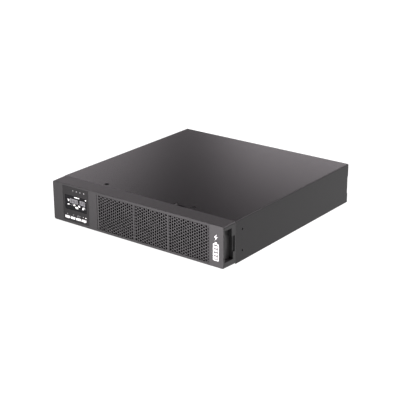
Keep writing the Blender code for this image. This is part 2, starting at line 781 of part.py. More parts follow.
def battery_tray():
    """The tray's floor, sides and rear wall, and the plate that closes the bay."""
    height = 45 * MM
    front, rear = TRAY_PLATE_FACE, TRAY_REAR + SHEET
    section = [
        (TRAY_LEFT, TRAY_FLOOR),
        (TRAY_RIGHT, TRAY_FLOOR),
        (TRAY_RIGHT, height),
        (TRAY_RIGHT - SHEET, height),
        (TRAY_RIGHT - SHEET, TRAY_FLOOR + SHEET),
        (TRAY_LEFT + SHEET, TRAY_FLOOR + SHEET),
        (TRAY_LEFT + SHEET, height),
        (TRAY_LEFT, height),
    ]
    tray = extrusion("battery_tray", [section], "Y", JOINT + GAP, rear, STEEL, "battery_pack")
    join(
        tray,
        blocks(
            "tray_walls",
            [
                (
                    (TRAY_LEFT - 3.5 * MM, front, 4 * MM),
                    (TRAY_RIGHT + 2.6 * MM, front + SHEET, 82 * MM),
                ),
                (
                    (TRAY_LEFT + 0.2 * MM, rear - SHEET, TRAY_FLOOR + 0.2 * MM),
                    (TRAY_RIGHT - 0.2 * MM, rear - 0.1 * MM, height - 0.2 * MM),
                ),
            ],
        ),
    )
    bm = bmesh.new()
    for side in (-1, 1):
        x = PLUG_X + side * (HANDLE_HALF - 7 * MM)
        add_box(
            bm,
            (x - 2.5 * MM, HANDLE_Y - 3.6 * MM, HANDLE_Z - 3.6 * MM),
            (x + 2.5 * MM, front + 0.5 * MM, HANDLE_Z + 3.6 * MM),
        )
    join(tray, finish(bm, "handle_lugs"))
    bm = bmesh.new()
    for x in THUMB_SCREWS_X:
        add_cylinder(bm, (x, front, THUMB_SCREWS_Z), "Y", 2.4 * MM, 6 * MM, sides=12)
    for side in (-1, 1):
        x = PLUG_X + side * (HANDLE_HALF - 7 * MM)
        add_cylinder(bm, (x, HANDLE_Y, HANDLE_Z), "X", HANDLE_WIRE + 0.5 * MM, 9 * MM, sides=10)
    cut(tray, finish(bm, "tray_holes"))


def batteries():
    """Four sealed lead-acid blocks, in two rows with their terminals face to face."""
    number = 0
    for row in range(2):
        for column in range(2):
            number += 1
            left = TRAY_LEFT + SHEET + BATTERY_GAP + column * (BATTERY[0] + BATTERY_GAP)
            front = PANEL_FACE + BATTERY_GAP + row * (BATTERY[1] + TERMINAL_SPACE)
            low = (left, front, TRAY_FLOOR + SHEET + GAP)
            high = tuple(a + b for a, b in zip(low, BATTERY))
            case = block(f"battery_{number}", low, high, CELL, "battery_pack", bevel=1.5 * MM)
            face = high[1] if row == 0 else low[1]
            towards = 1 if row == 0 else -1
            ends = sorted((face - towards * 1 * MM, face + towards * 4 * MM))
            posts = [
                (
                    (x - 3 * MM, ends[0], high[2] - 16 * MM),
                    (x + 3 * MM, ends[1], high[2] - 10 * MM),
                )
                for x in (left + 12 * MM, left + BATTERY[0] - 12 * MM)
            ]
            join(case, blocks(f"terminals_{number}", posts))


def battery_strap():
    """The hold-down band over the batteries."""
    top = TRAY_FLOOR + SHEET + GAP + BATTERY[2] + GAP
    left, right = TRAY_LEFT - GAP, TRAY_RIGHT + GAP
    section = [
        (left - 0.6 * MM, 50 * MM),
        (left, 50 * MM),
        (left, top),
        (right, top),
        (right, 50 * MM),
        (right + 0.6 * MM, 50 * MM),
        (right + 0.6 * MM, top + 1 * MM),
        (left - 0.6 * MM, top + 1 * MM),
    ]
    middle = (PANEL_FACE + TRAY_REAR) / 2
    extrusion(
        "battery_strap",
        [section],
        "Y",
        middle - 15 * MM,
        middle + 15 * MM,
        BLACK_PLASTIC,
        "battery_pack",
    )


def battery_plug():
    """The pack's half of the docking connector, on the tray's rear wall."""
    rear = TRAY_REAR + SHEET + GAP
    block(
        "battery_plug",
        (PLUG_X - 21 * MM, rear, PLUG_Z - 9 * MM),
        (PLUG_X + 21 * MM, rear + 16 * MM, PLUG_Z + 9 * MM),
        BLACK_PLASTIC,
        "battery_pack",
        bevel=1.5 * MM,
    )


def battery_receptacle():
    """The case's half of the docking connector, in the bay's rear wall."""
    front = TRAY_REAR + SHEET + 2 * MM
    receptacle = block(
        "battery_receptacle",
        (PLUG_X - 26 * MM, front, PLUG_Z - 13 * MM),
        (PLUG_X + 26 * MM, front + 22 * MM, PLUG_Z + 13 * MM),
        BLACK_PLASTIC,
    )
    recess = block(
        "receptacle_recess",
        (PLUG_X - 22 * MM, front - 5 * MM, PLUG_Z - 10 * MM),
        (PLUG_X + 22 * MM, front + 17 * MM, PLUG_Z + 10 * MM),
    )
    cut(receptacle, recess)


def battery_handle():
    """A wire bail, which hangs from two lugs on the tray's front plate."""
    bend = 6 * MM
    z_low = -HANDLE_DROP
    points = [(-HANDLE_HALF + 4 * MM, 0), (-HANDLE_HALF, -2 * MM)]
    points += arc((-HANDLE_HALF + bend, z_low + bend), bend, 180, 270, 3)
    points += arc((HANDLE_HALF - bend, z_low + bend), bend, 270, 360, 3)
    points += [(HANDLE_HALF, -2 * MM), (HANDLE_HALF - 4 * MM, 0)]
    points = [(-HANDLE_HALF + 9 * MM, 0), *points, (HANDLE_HALF - 9 * MM, 0)]
    curve = bpy.data.curves.new("battery_handle", "CURVE")
    curve.dimensions = "3D"
    curve.bevel_depth = HANDLE_WIRE
    curve.bevel_resolution = 2
    curve.use_fill_caps = True
    curve.materials.append(STEEL)
    spline = curve.splines.new("POLY")
    spline.points.add(len(points) - 1)
    for point, (x, z) in zip(spline.points, points):
        point.co = (x, 0, z, 1)
    handle = bpy.data.objects.new("battery_handle", curve)
    PARTS.objects.link(handle)
    handle.parent = BODIES["battery_handle"]


def thumb_screws():
    """Two captive screws, which hold the tray to the front panel."""
    for x, name in zip(THUMB_SCREWS_X, ("left", "right")):
        bm = bmesh.new()
        face = TRAY_PLATE_FACE - GAP
        add_cylinder(bm, (x, face - 3.5 * MM, THUMB_SCREWS_Z), "Y", 3.6 * MM, 7 * MM, sides=12)
        screw = finish(bm, "thumb_screw_" + name, STEEL, "battery_pack")
        bm = bmesh.new()
        add_cylinder(bm, (x, face + 3 * MM, THUMB_SCREWS_Z), "Y", 1.9 * MM, 8 * MM, sides=12)
        join(screw, finish(bm, "thumb_screw_shank_" + name))


def battery_bay_wall():
    """The bent wall at the bay's left side and rear."""
    left = TRAY_LEFT - 3 * MM
    rear = TRAY_REAR + SHEET + 4 * MM
    front = PANEL_FACE + SHEET + GAP
    right = HALF - 2 * SHEET - 1.4 * MM
    section = [
        (left, front),
        (left, rear),
        (right, rear),
        (right, rear + SHEET),
        (left - SHEET, rear + SHEET),
        (left - SHEET, front),
    ]
    wall = extrusion("battery_bay_wall", [section], "Z", SHEET + GAP, 74 * MM, STEEL)
    hole = block(
        "receptacle_hole",
        (PLUG_X - 26.4 * MM, rear - 5 * MM, PLUG_Z - 13.4 * MM),
        (PLUG_X + 26.4 * MM, rear + 5 * MM, PLUG_Z + 13.4 * MM),
    )
    cut(wall, hole)


# ------------------------------------------------------------- electronics


def power_board():
    """The L-shaped main board, which reaches forward beside the battery bay."""
    left, right = -205 * MM, 205 * MM
    inner = TRAY_LEFT - 8 * MM
    front = JOINT + 12 * MM
    outline = [
        (left, front),
        (inner, front),
        (inner, BOARD_FRONT),
        (right, BOARD_FRONT),
        (right, BOARD_REAR),
        (left, BOARD_REAR),
    ]
    extrusion("power_board", [outline], "Z", BOARD_Z, BOARD_Z + BOARD, CIRCUIT)


def heat_sink(name, x, side):
    """An extrusion with its fins along the air's path, to one side of its web."""
    web, reach, fin, pitch = 5 * MM, 24 * MM, 2 * MM, 8 * MM
    count = 8
    points = [(0, 0)]
    for index in range(count):
        z = index * pitch
        points += [(reach, z), (reach, z + fin)]
        if index < count - 1:
            points += [(web, z + fin), (web, z + pitch)]
    points.append((0, (count - 1) * pitch + fin))
    section = [(x + side * px, BOARD_TOP + pz) for px, pz in points]
    extrusion(name, [section], "Y", 44 * MM, 184 * MM, ALUMINIUM)


def choke(name, x, y):
    """A toroid wound with heavy wire, lying flat on the board."""
    ring, wire = 21 * MM, 10 * MM
    bpy.ops.mesh.primitive_torus_add(
        location=(x, y, BOARD_TOP + wire),
        major_radius=ring,
        minor_radius=wire,
        major_segments=18,
        minor_segments=8,
    )
    torus = bpy.context.object
    torus.name = name
    for held in list(torus.users_collection):
        held.objects.unlink(torus)
    PARTS.objects.link(torus)
    torus.data.materials.append(COPPER)
    torus.data.shade_smooth()


def capacitors():
    radius, height = 14 * MM, 50 * MM
    for number, x in enumerate((-22 * MM, 8 * MM, 38 * MM), 1):
        bm = bmesh.new()
        add_cylinder(bm, (x, 64 * MM, BOARD_TOP + height / 2), "Z", radius, height, sides=20)
        finish(bm, f"bus_capacitor_{number}", SLEEVE, smooth=True)


def charger_transformer():
    x, y = -22 * MM, 112 * MM
    core = block(
        "charger_transformer",
        (x, y, BOARD_TOP),
        (x + 50 * MM, y + 16 * MM, BOARD_TOP + 42 * MM),
        BLACK_PLASTIC,
    )
    winding = block(
        "transformer_winding",
        (x + 9 * MM, y - 9 * MM, BOARD_TOP + 7 * MM),
        (x + 41 * MM, y + 25 * MM, BOARD_TOP + 35 * MM),
    )
    join(core, winding)


def control_card():
    """The controller's daughter card, upright at the rear of the board."""
    card = block(
        "control_card",
        (-196 * MM, 120 * MM, BOARD_TOP),
        (-86 * MM, 120 * MM + BOARD, BOARD_TOP + 55 * MM),
        CIRCUIT,
    )
    chips = [
        ((x * MM, 115 * MM, (z + 12) * MM), ((x + w) * MM, 120.5 * MM, (z + 12 + h) * MM))
        for x, z, w, h in ((-186, 18, 22, 22), (-150, 30, 14, 14), (-122, 14, 26, 10))
    ]
    join(card, blocks("card_chips", chips))


# ------------------------------------------------------------ rear panel parts


def comms_board():
    z = PORTS_Z - 8.4 * MM
    block("comms_board", (-212 * MM, 196 * MM, z), (-130 * MM, 220 * MM, z + BOARD), CIRCUIT)


def serial_port():
    """A nine-way port: a flange, its D-shaped shell and the body behind it."""
    x, z = SERIAL_X, PORTS_Z
    port = block(
        "serial_port",
        (x - 15.5 * MM, PANEL_REAR + GAP, z - 6.2 * MM),
        (x + 15.5 * MM, PANEL_REAR + 1.1 * MM, z + 6.2 * MM),
        STEEL,
    )
    bm = bmesh.new()
    shell = [(-8.5, 4.2), (8.5, 4.2), (7, -4.2), (-7, -4.2)]
    outline = [(x + px * MM, z + pz * MM) for px, pz in shell]
    extruded(bm, [outline], "Y", PANEL_REAR - 14 * MM, REAR)
    join(port, finish(bm, "serial_shell"))
    bm = bmesh.new()
    for side in (-1, 1):
        add_cylinder(bm, (x + side * 12.4 * MM, REAR - 1 * MM, z), "Y", 2.4 * MM, 1.9 * MM, sides=6)
    join(port, finish(bm, "jack_posts"))


def usb_port():
    x, z = USB_X, PORTS_Z
    port = block(
        "usb_port",
        (x - 6 * MM, PANEL_REAR - 14 * MM, z - 5.5 * MM),
        (x + 6 * MM, REAR - 0.4 * MM, z + 5.5 * MM),
        STEEL,
    )
    bm = bmesh.new()
    outer, tongue = rectangle((x, z), (8.6 * MM, 8 * MM)), rectangle((x, z), (5.4 * MM, 3.4 * MM))
    extruded(bm, [outer, tongue], "Y", REAR - 9 * MM, REAR + 2 * MM)
    cut(port, finish(bm, "usb_opening"))


def epo_terminal():
    """The emergency-power-off terminal: two wire holes in a small block."""
    x, z = EPO_X, PORTS_Z
    terminal = block(
        "epo_terminal",
        (x - 6 * MM, PANEL_REAR - 10 * MM, z - 4.5 * MM),
        (x + 6 * MM, REAR - 0.2 * MM, z + 4.5 * MM),
        GREEN_PLASTIC,
    )
    holes = [
        (
            (x + side * 2.6 * MM - 1.5 * MM, REAR - 6 * MM, z - 3 * MM),
            (x + side * 2.6 * MM + 1.5 * MM, REAR + 2 * MM, z + 0.6 * MM),
        )
        for side in (-1, 1)
    ]
    cut(terminal, blocks("wire_holes", holes))


def slot_cover():
    """The blanking plate over the communications-card slot, with its two thumb screws."""
    low, high = PANEL_REAR + GAP, REAR - 0.5 * MM
    outline = rounded_rectangle((SLOT_X, SLOT_Z), SLOT, 2 * MM, 2)
    cover = extrusion("slot_cover", [outline], "Y", low, high, PAINT)
    bm = bmesh.new()
    for side in (-1, 1):
        centre = (SLOT_X + side * (SLOT[0] / 2 - 8 * MM), (low + REAR) / 2, SLOT_Z)
        add_cylinder(bm, centre, "Y", 3.6 * MM, REAR - low - 0.2 * MM, sides=16)
    join(cover, finish(bm, "slot_screws"))


def battery_port():
    """The two-pole connector for an external battery cabinet."""
    w, h = BATTERY_PORT[0] / 2, BATTERY_PORT[1] / 2
    x, z = BATTERY_PORT_X, PORTS_Z
    port = block(
        "battery_port",
        (x - w, PANEL_REAR + GAP, z - h),
        (x + w, REAR - 0.1 * MM, z + h),
        BLACK_PLASTIC,
    )
    inner = [s / 2 - 1.5 * MM for s in BATTERY_PORT]
    shank = block(
        "battery_port_body",
        (x - inner[0], PANEL_REAR - 18 * MM, z - inner[1]),
        (x + inner[0], REAR - 0.8 * MM, z + inner[1]),
    )
    join(port, shank)
    bm = bmesh.new()
    for side in (-1, 1):
        centre = (x, z + side * 7.6 * MM)
        outer, blade = rectangle(centre, (10 * MM, 10 * MM)), rectangle(centre, (7 * MM, 2.4 * MM))
        extruded(bm, [outer, blade], "Y", PANEL_REAR - 10 * MM, REAR + 2 * MM)
    cut(port, finish(bm, "contact_cavities"))


def socket_blank(name):
    """A snap-in socket's flange and body, at the origin, with its face at Y = 0."""
    bm = bmesh.new()
    outline = rounded_rectangle((0, 0), FLANGE, 2.5 * MM, 2)
    extruded(bm, [outline], "Y", PANEL_REAR + GAP - REAR, -0.2 * MM)
    blank = finish(bm, name, BLACK_PLASTIC, origin=(0, 0, 0))
    shank = block(
        name + "_body",
        (-SOCKET[0] / 2, -24 * MM, -SOCKET[1] / 2),
        (SOCKET[0] / 2, -1 * MM, SOCKET[1] / 2),
    )
    join(blank, shank)
    return blank


def socket_outline(width, height, chamfer):
    """The mains coupler's outline: a rectangle with its two upper corners cut off."""
    w, h = width / 2, height / 2
    return [(-w, -h), (w, -h), (w, h - chamfer), (w - chamfer, h), (chamfer - w, h), (-w, h - chamfer)]


PIN_PLACES = ((-7 * MM, -2 * MM), (7 * MM, -2 * MM), (0, 2 * MM))


def outlets():
    """Six outlets: each has a three-slot island inside a narrow moat."""
    first = socket_blank("outlet_1")
    bm = bmesh.new()
    moat = [
        socket_outline(25 * MM, 17 * MM, 4.5 * MM),
        socket_outline(21.6 * MM, 13.6 * MM, 3.8 * MM),
    ]
    extruded(bm, moat, "Y", -16 * MM, 2 * MM)
    for x, z in PIN_PLACES:
        extruded(bm, [rectangle((x, z), (2.4 * MM, 4.4 * MM))], "Y", -14 * MM, 2 * MM)
    cut(first, finish(bm, "outlet_openings"))
    mesh = applied_mesh(first)
    first.modifiers.clear()
    first.data = mesh
    number = 0
    for z in OUTLET_ROWS:
        for x in OUTLET_COLUMNS:
            number += 1
            if number == 1:
                outlet = first
            else:
                outlet = bpy.data.objects.new(f"outlet_{number}", mesh)
                PARTS.objects.link(outlet)
            outlet.location = (x, REAR, z)


def inlet_socket():
    """The mains inlet: three blades in an open recess."""
    inlet = socket_blank("inlet_socket")
    bm = bmesh.new()
    extruded(bm, [socket_outline(24.6 * MM, 17 * MM, 4.5 * MM)], "Y", -16 * MM, 2 * MM)
    cut(inlet, finish(bm, "inlet_recess"))
    bm = bmesh.new()
    for x, z in PIN_PLACES:
        add_box(bm, (x - 1 * MM, -18 * MM, z - 2 * MM), (x + 1 * MM, -3 * MM, z + 2 * MM))
    join(inlet, finish(bm, "inlet_blades"))
    mesh = applied_mesh(inlet)
    inlet.modifiers.clear()
    inlet.data = mesh
    inlet.location = (INLET_X, REAR, INLET_Z)


def breaker():
    """The input breaker: a threaded bush with a button that jumps out when it trips."""
    bm = bmesh.new()
    x, z = INLET_X, BREAKER_Z
    ring = [circle((x, z), 9 * MM, 20), circle((x, z), 4.6 * MM, 20)]
    extruded(bm, ring, "Y", PANEL_REAR + GAP, REAR - 0.4 * MM)
    housing = finish(bm, "breaker_body", BLACK_PLASTIC)
    bm = bmesh.new()
    ring = [circle((x, z), 6.6 * MM, 20), circle((x, z), 4.6 * MM, 20)]
    extruded(bm, ring, "Y", PANEL_REAR - 10 * MM, PANEL_REAR + 0.8 * MM)
    join(housing, finish(bm, "breaker_bush"))
    rear_block = block(
        "breaker_block",
        (x - 8 * MM, PANEL_REAR - 26 * MM, z - 12 * MM),
        (x + 8 * MM, PANEL_REAR - 9 * MM, z + 12 * MM),
    )
    join(housing, rear_block)
    bm = bmesh.new()
    add_cylinder(bm, (x, REAR - 4.6 * MM, z), "Y", 4.1 * MM, 9 * MM, sides=20)
    finish(bm, "breaker_button", WHITE, "breaker_button", origin=(x, REAR, z))


def fan(name, x):
    """An axial fan: the square frame with its struts, and the rotor on its shaft."""
    rear = PANEL_REAR - SHEET - GAP
    front = rear - FAN_DEPTH
    bore, hub, blade_tip = 38 * MM, 17 * MM, 36.6 * MM
    centre = (x, MIDDLE)
    outline = rounded_rectangle(centre, (FAN_SIZE, FAN_SIZE), 3 * MM, 2)
    frame = extrusion(
        "fan_frame_" + name, [outline, circle(centre, bore, 24)], "Y", front, rear, BLACK_PLASTIC
    )
    strut_front = rear - 3.5 * MM
    bm = bmesh.new()
    add_cylinder(bm, (x, (strut_front + rear) / 2, MIDDLE), "Y", hub, 3.3 * MM, sides=16)
    for index in range(4):
        turn = Matrix.Rotation(math.radians(45 + 90 * index), 4, "Y")
        shift = Matrix.Translation((x, (strut_front + rear) / 2, MIDDLE))
        strut = spanning((hub - 3 * MM, -1.2 * MM, -2 * MM), (bore + 2 * MM, 1.2 * MM, 2 * MM))
        strut_bm = bmesh.new()
        bmesh.ops.create_cube(strut_bm, size=1, matrix=shift @ turn @ strut)
        join(frame, finish(strut_bm, f"strut_{name}_{index}"))
    join(frame, finish(bm, "motor_base_" + name))

    bm = bmesh.new()
    rotor_rear = strut_front - 1 * MM
    rotor_front = front + 1.5 * MM
    middle = (rotor_front + rotor_rear) / 2
    add_cylinder(bm, (x, middle, MIDDLE), "Y", hub, rotor_rear - rotor_front, sides=20)
    rotor = finish(
        bm, "fan_rotor_" + name, DARK_PLASTIC, "fan_" + name, origin=(x, middle, MIDDLE)
    )
    bm = bmesh.new()
    blade = spanning((hub - 2 * MM, -9.5 * MM, -0.9 * MM), (blade_tip, 9.5 * MM, 0.9 * MM))
    pitch = Matrix.Rotation(math.radians(50), 4, "X")
    for index in range(7):
        turn = Matrix.Rotation(2 * math.pi * index / 7, 4, "Y")
        shift = Matrix.Translation((x, middle, MIDDLE))
        bmesh.ops.create_cube(bm, size=1, matrix=shift @ turn @ pitch @ blade)
    join(rotor, finish(bm, "blades_" + name))


# --------------------------------------------------------------- assembly


def main():
    body("bezel", (0, JOINT, MIDDLE))
    body("latch_left", (-HALF, LATCH_Y[0], (LATCH_Z[0] + LATCH_Z[1]) / 2))
    body("latch_right", (HALF, LATCH_Y[0], (LATCH_Z[0] + LATCH_Z[1]) / 2))
    body("display", (DISPLAY_X, BEZEL_FACE, DISPLAY_Z))
    for number, x in enumerate(BUTTONS_X, 1):
        body(f"button_{number}", (x, BEZEL_FACE, BUTTONS_Z))
    body("battery_pack", (PLUG_X, PANEL_FACE, PLUG_Z))
    body("battery_handle", (PLUG_X, HANDLE_Y, HANDLE_Z))
    body("breaker_button", (INLET_X, REAR, BREAKER_Z))
    for name, x in zip(("left", "right"), FANS_X):
        body("fan_" + name, (x, PANEL_REAR - FAN_DEPTH / 2, MIDDLE))

    base_pan()
    top_cover()
    front_panel()
    rear_panel()
    cover_screws()
    battery_bay_wall()
    battery_receptacle()

    power_board()
    heat_sink("heat_sink_left", -42 * MM, -1)
    heat_sink("heat_sink_right", 62 * MM, 1)
    choke("pfc_choke", -155 * MM, -130 * MM)
    choke("inverter_choke", -155 * MM, -55 * MM)
    capacitors()
    charger_transformer()
    control_card()

    comms_board()
    serial_port()
    usb_port()
    epo_terminal()
    slot_cover()
    battery_port()
    inlet_socket()
    outlets()
    breaker()
    for name, x in zip(("left", "right"), FANS_X):
        fan(name, x)

    bezel_frame()
    grille_mesh()
    end_plate()
    bezel_latches()

    display_housing()
    display_screen()
    display_board()
    indicator_light_pipe()
    buttons()

    battery_tray()
    batteries()
    battery_strap()
    battery_plug()
    battery_handle()
    thumb_screws()


main()
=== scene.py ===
"""Looks of a rack-mount uninterruptible power supply, two rack units high.

The pieces are drawn in millimetres in the part's own frame: +Z up, +Y to the rear, +X to
the right as seen from the front, with the origin under the middle of the case.
"""

import math

import bmesh
import bpy
from mathutils import Matrix, Vector


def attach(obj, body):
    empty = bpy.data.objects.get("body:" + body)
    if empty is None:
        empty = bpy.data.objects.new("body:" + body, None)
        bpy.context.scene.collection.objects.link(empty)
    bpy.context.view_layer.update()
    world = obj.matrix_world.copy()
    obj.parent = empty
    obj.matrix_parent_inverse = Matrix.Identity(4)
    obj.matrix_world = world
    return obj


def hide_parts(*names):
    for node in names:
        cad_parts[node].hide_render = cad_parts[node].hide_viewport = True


MM = 0.001

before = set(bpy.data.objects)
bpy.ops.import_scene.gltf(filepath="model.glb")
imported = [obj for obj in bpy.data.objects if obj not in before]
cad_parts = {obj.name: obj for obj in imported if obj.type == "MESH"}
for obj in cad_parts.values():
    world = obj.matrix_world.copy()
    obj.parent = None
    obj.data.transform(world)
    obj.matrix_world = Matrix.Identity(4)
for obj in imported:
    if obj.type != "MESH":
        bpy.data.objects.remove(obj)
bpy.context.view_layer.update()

# Main dimensions, in millimetres.
HALF, HEIGHT = 219.0, 86.5
FRONT, JOINT, REAR = -225.0, -188.0, 225.0
FACE = FRONT + 0.6
PANEL_REAR = REAR - 2.0
SHEET = 1.2
SIDES = (-1, 1)

# Turns an outline drawn in X and Y so that it stands across the named axis.
ACROSS = {
    "X": Matrix(((0, 0, 1, 0), (1, 0, 0, 0), (0, 1, 0, 0), (0, 0, 0, 1))),
    "Y": Matrix(((1, 0, 0, 0), (0, 0, -1, 0), (0, 1, 0, 0), (0, 0, 0, 1))),
    "Z": Matrix.Identity(4),
}
ALONG = {
    "X": Matrix.Rotation(math.pi / 2, 4, "Y"),
    "Y": Matrix.Rotation(-math.pi / 2, 4, "X"),
    "Z": Matrix.Identity(4),
}


# ---------------------------------------------------------------- materials


def material(
    name,
    colour,
    roughness,
    metallic=0.0,
    specular=0.5,
    grain=0.1,
    grain_size=0.5,
    uneven=0.08,
    glow=0.0,
):
    """A finish with a fine grain and an uneven sheen, both made from noise."""
    made = bpy.data.materials.new(name)
    made.use_nodes = True
    nodes, links = made.node_tree.nodes, made.node_tree.links
    shader = nodes["Principled BSDF"]
    shader.inputs["Base Color"].default_value = (*colour, 1)
    shader.inputs["Metallic"].default_value = metallic
    shader.inputs["Specular IOR Level"].default_value = specular
    if glow:
        shader.inputs["Emission Color"].default_value = (*colour, 1)
        shader.inputs["Emission Strength"].default_value = glow
    place = nodes.new("ShaderNodeTexCoord")
    fine = nodes.new("ShaderNodeTexNoise")
    fine.inputs["Scale"].default_value = 1 / (grain_size * MM)
    fine.inputs["Detail"].default_value = 2
    bump = nodes.new("ShaderNodeBump")
    bump.inputs["Strength"].default_value = grain
    bump.inputs["Distance"].default_value = 0.1 * MM
    broad = nodes.new("ShaderNodeTexNoise")
    broad.inputs["Scale"].default_value = 35
    sheen = nodes.new("ShaderNodeMapRange")
    sheen.inputs["To Min"].default_value = max(roughness - uneven, 0.02)
    sheen.inputs["To Max"].default_value = roughness + uneven
    links.new(place.outputs["Object"], fine.inputs["Vector"])
    links.new(place.outputs["Object"], broad.inputs["Vector"])
    links.new(fine.outputs["Fac"], bump.inputs["Height"])
    links.new(broad.outputs["Fac"], sheen.inputs["Value"])
    links.new(sheen.outputs["Result"], shader.inputs["Roughness"])
    links.new(bump.outputs["Normal"], shader.inputs["Normal"])
    return made


PAINT = material("case_paint", (0.013, 0.0122, 0.0128), 0.19, specular=0.22, uneven=0.0)
BEZEL = material("bezel_plastic", (0.041, 0.0406, 0.0408), 0.33, specular=0.25, uneven=0.03)
GRILLE = material("grille_plastic", (0.051, 0.0505, 0.0508), 0.4, specular=0.35)
PLATE = material("end_plate_plastic", (0.049, 0.0486, 0.0488), 0.42, specular=0.3)
MODULE = material("display_plastic", (0.0196, 0.019, 0.0194), 0.4, specular=0.22)
GLASS = material("screen_glass", (0.006, 0.006, 0.007), 0.12, specular=0.12, grain=0.0)
LIT = material("lit_segments", (0.8, 0.8, 0.78), 0.4, glow=0.45, grain=0.0)
DIM = material("dim_segments", (0.17, 0.17, 0.178), 0.4, glow=0.2, grain=0.0)
# The keys' faint glow is painted light: it makes the white keys brighter than the lamps alone
# would.
KEY = material("button_white", (0.85, 0.85, 0.84), 0.35, glow=0.12, grain=0.02)
MARK = material("white_print", (0.62, 0.62, 0.61), 0.5, grain=0.02)
PIPE = material("light_pipe", (0.3, 0.3, 0.3), 0.2, grain=0.0)
CIRCUIT = material("circuit_board", (0.015, 0.12, 0.045), 0.4, grain_size=1.5)
ALUMINIUM = material("heat_sink_aluminium", (0.72, 0.72, 0.73), 0.35, 1.0)
ZINC = material("zinc_steel", (0.42, 0.42, 0.41), 0.38, 1.0, grain_size=2.0, uneven=0.12)
BLACKENED = material("blackened_steel", (0.03, 0.03, 0.031), 0.4, 0.4, uneven=0.12)
BRASS = material("brass", (0.7, 0.5, 0.22), 0.3, 1.0)
COPPER = material("winding", (0.6, 0.25, 0.09), 0.35, 0.8)
SOCKET = material("socket_plastic", (0.012, 0.012, 0.013), 0.4)
CELL = material("battery_case", (0.035, 0.035, 0.04), 0.5, grain=0.25)
SLEEVE = material("capacitor_sleeve", (0.02, 0.04, 0.14), 0.35)
GREEN = material("terminal_plastic", (0.02, 0.28, 0.1), 0.4)
# The filter's own dark colour, made near black as painted shade for the grille's holes.
CLOTH_PAINTED_SHADE = material("filter_cloth", (0.004, 0.004, 0.004), 0.9, specular=0.05, grain=0.5)
BLACK = material("black_oxide", (0.007, 0.007, 0.007), 0.55, specular=0.12)
GREY = material("grey_plastic", (0.2, 0.2, 0.2), 0.4)
RED = material("red_plastic", (0.5, 0.02, 0.02), 0.4)
BAND = material("hold_down_band", (0.1, 0.1, 0.1), 0.7, grain=0.4)

# The CAD nodes that stay as they are, with their finish.
FINISHES = (
    (ZINC, "base_pan battery_bay_wall battery_handle"),
    (BLACKENED, "front_panel battery_tray"),
    (PAINT, "rear_panel slot_cover"),
    (BLACK, "cover_screw_left cover_screw_right"),
    (ALUMINIUM, "heat_sink_left heat_sink_right thumb_screw_left thumb_screw_right"),
    (CIRCUIT, "power_board control_card comms_board display_board"),
    (COPPER, "pfc_choke inverter_choke"),
    (SLEEVE, "bus_capacitor_1 bus_capacitor_2 bus_capacitor_3"),
    (CELL, "battery_1 battery_2 battery_3 battery_4 charger_transformer"),
    (BAND, "battery_strap"),
    (SOCKET, "battery_plug battery_receptacle battery_port inlet_socket breaker_body"),
    (SOCKET, "outlet_1 outlet_2 outlet_3 outlet_4 outlet_5 outlet_6"),
    (SOCKET, "fan_frame_left fan_frame_right fan_rotor_left fan_rotor_right"),
    (ZINC, "usb_port"),
    (GREEN, "epo_terminal"),
    (GREY, "breaker_button"),
)


# ------------------------------------------------------------------ helpers

# Edges sharper than these are rounded, or shaded as sharp.
BEVEL_ANGLE, SHARP_ANGLE = math.radians(40), math.radians(35)


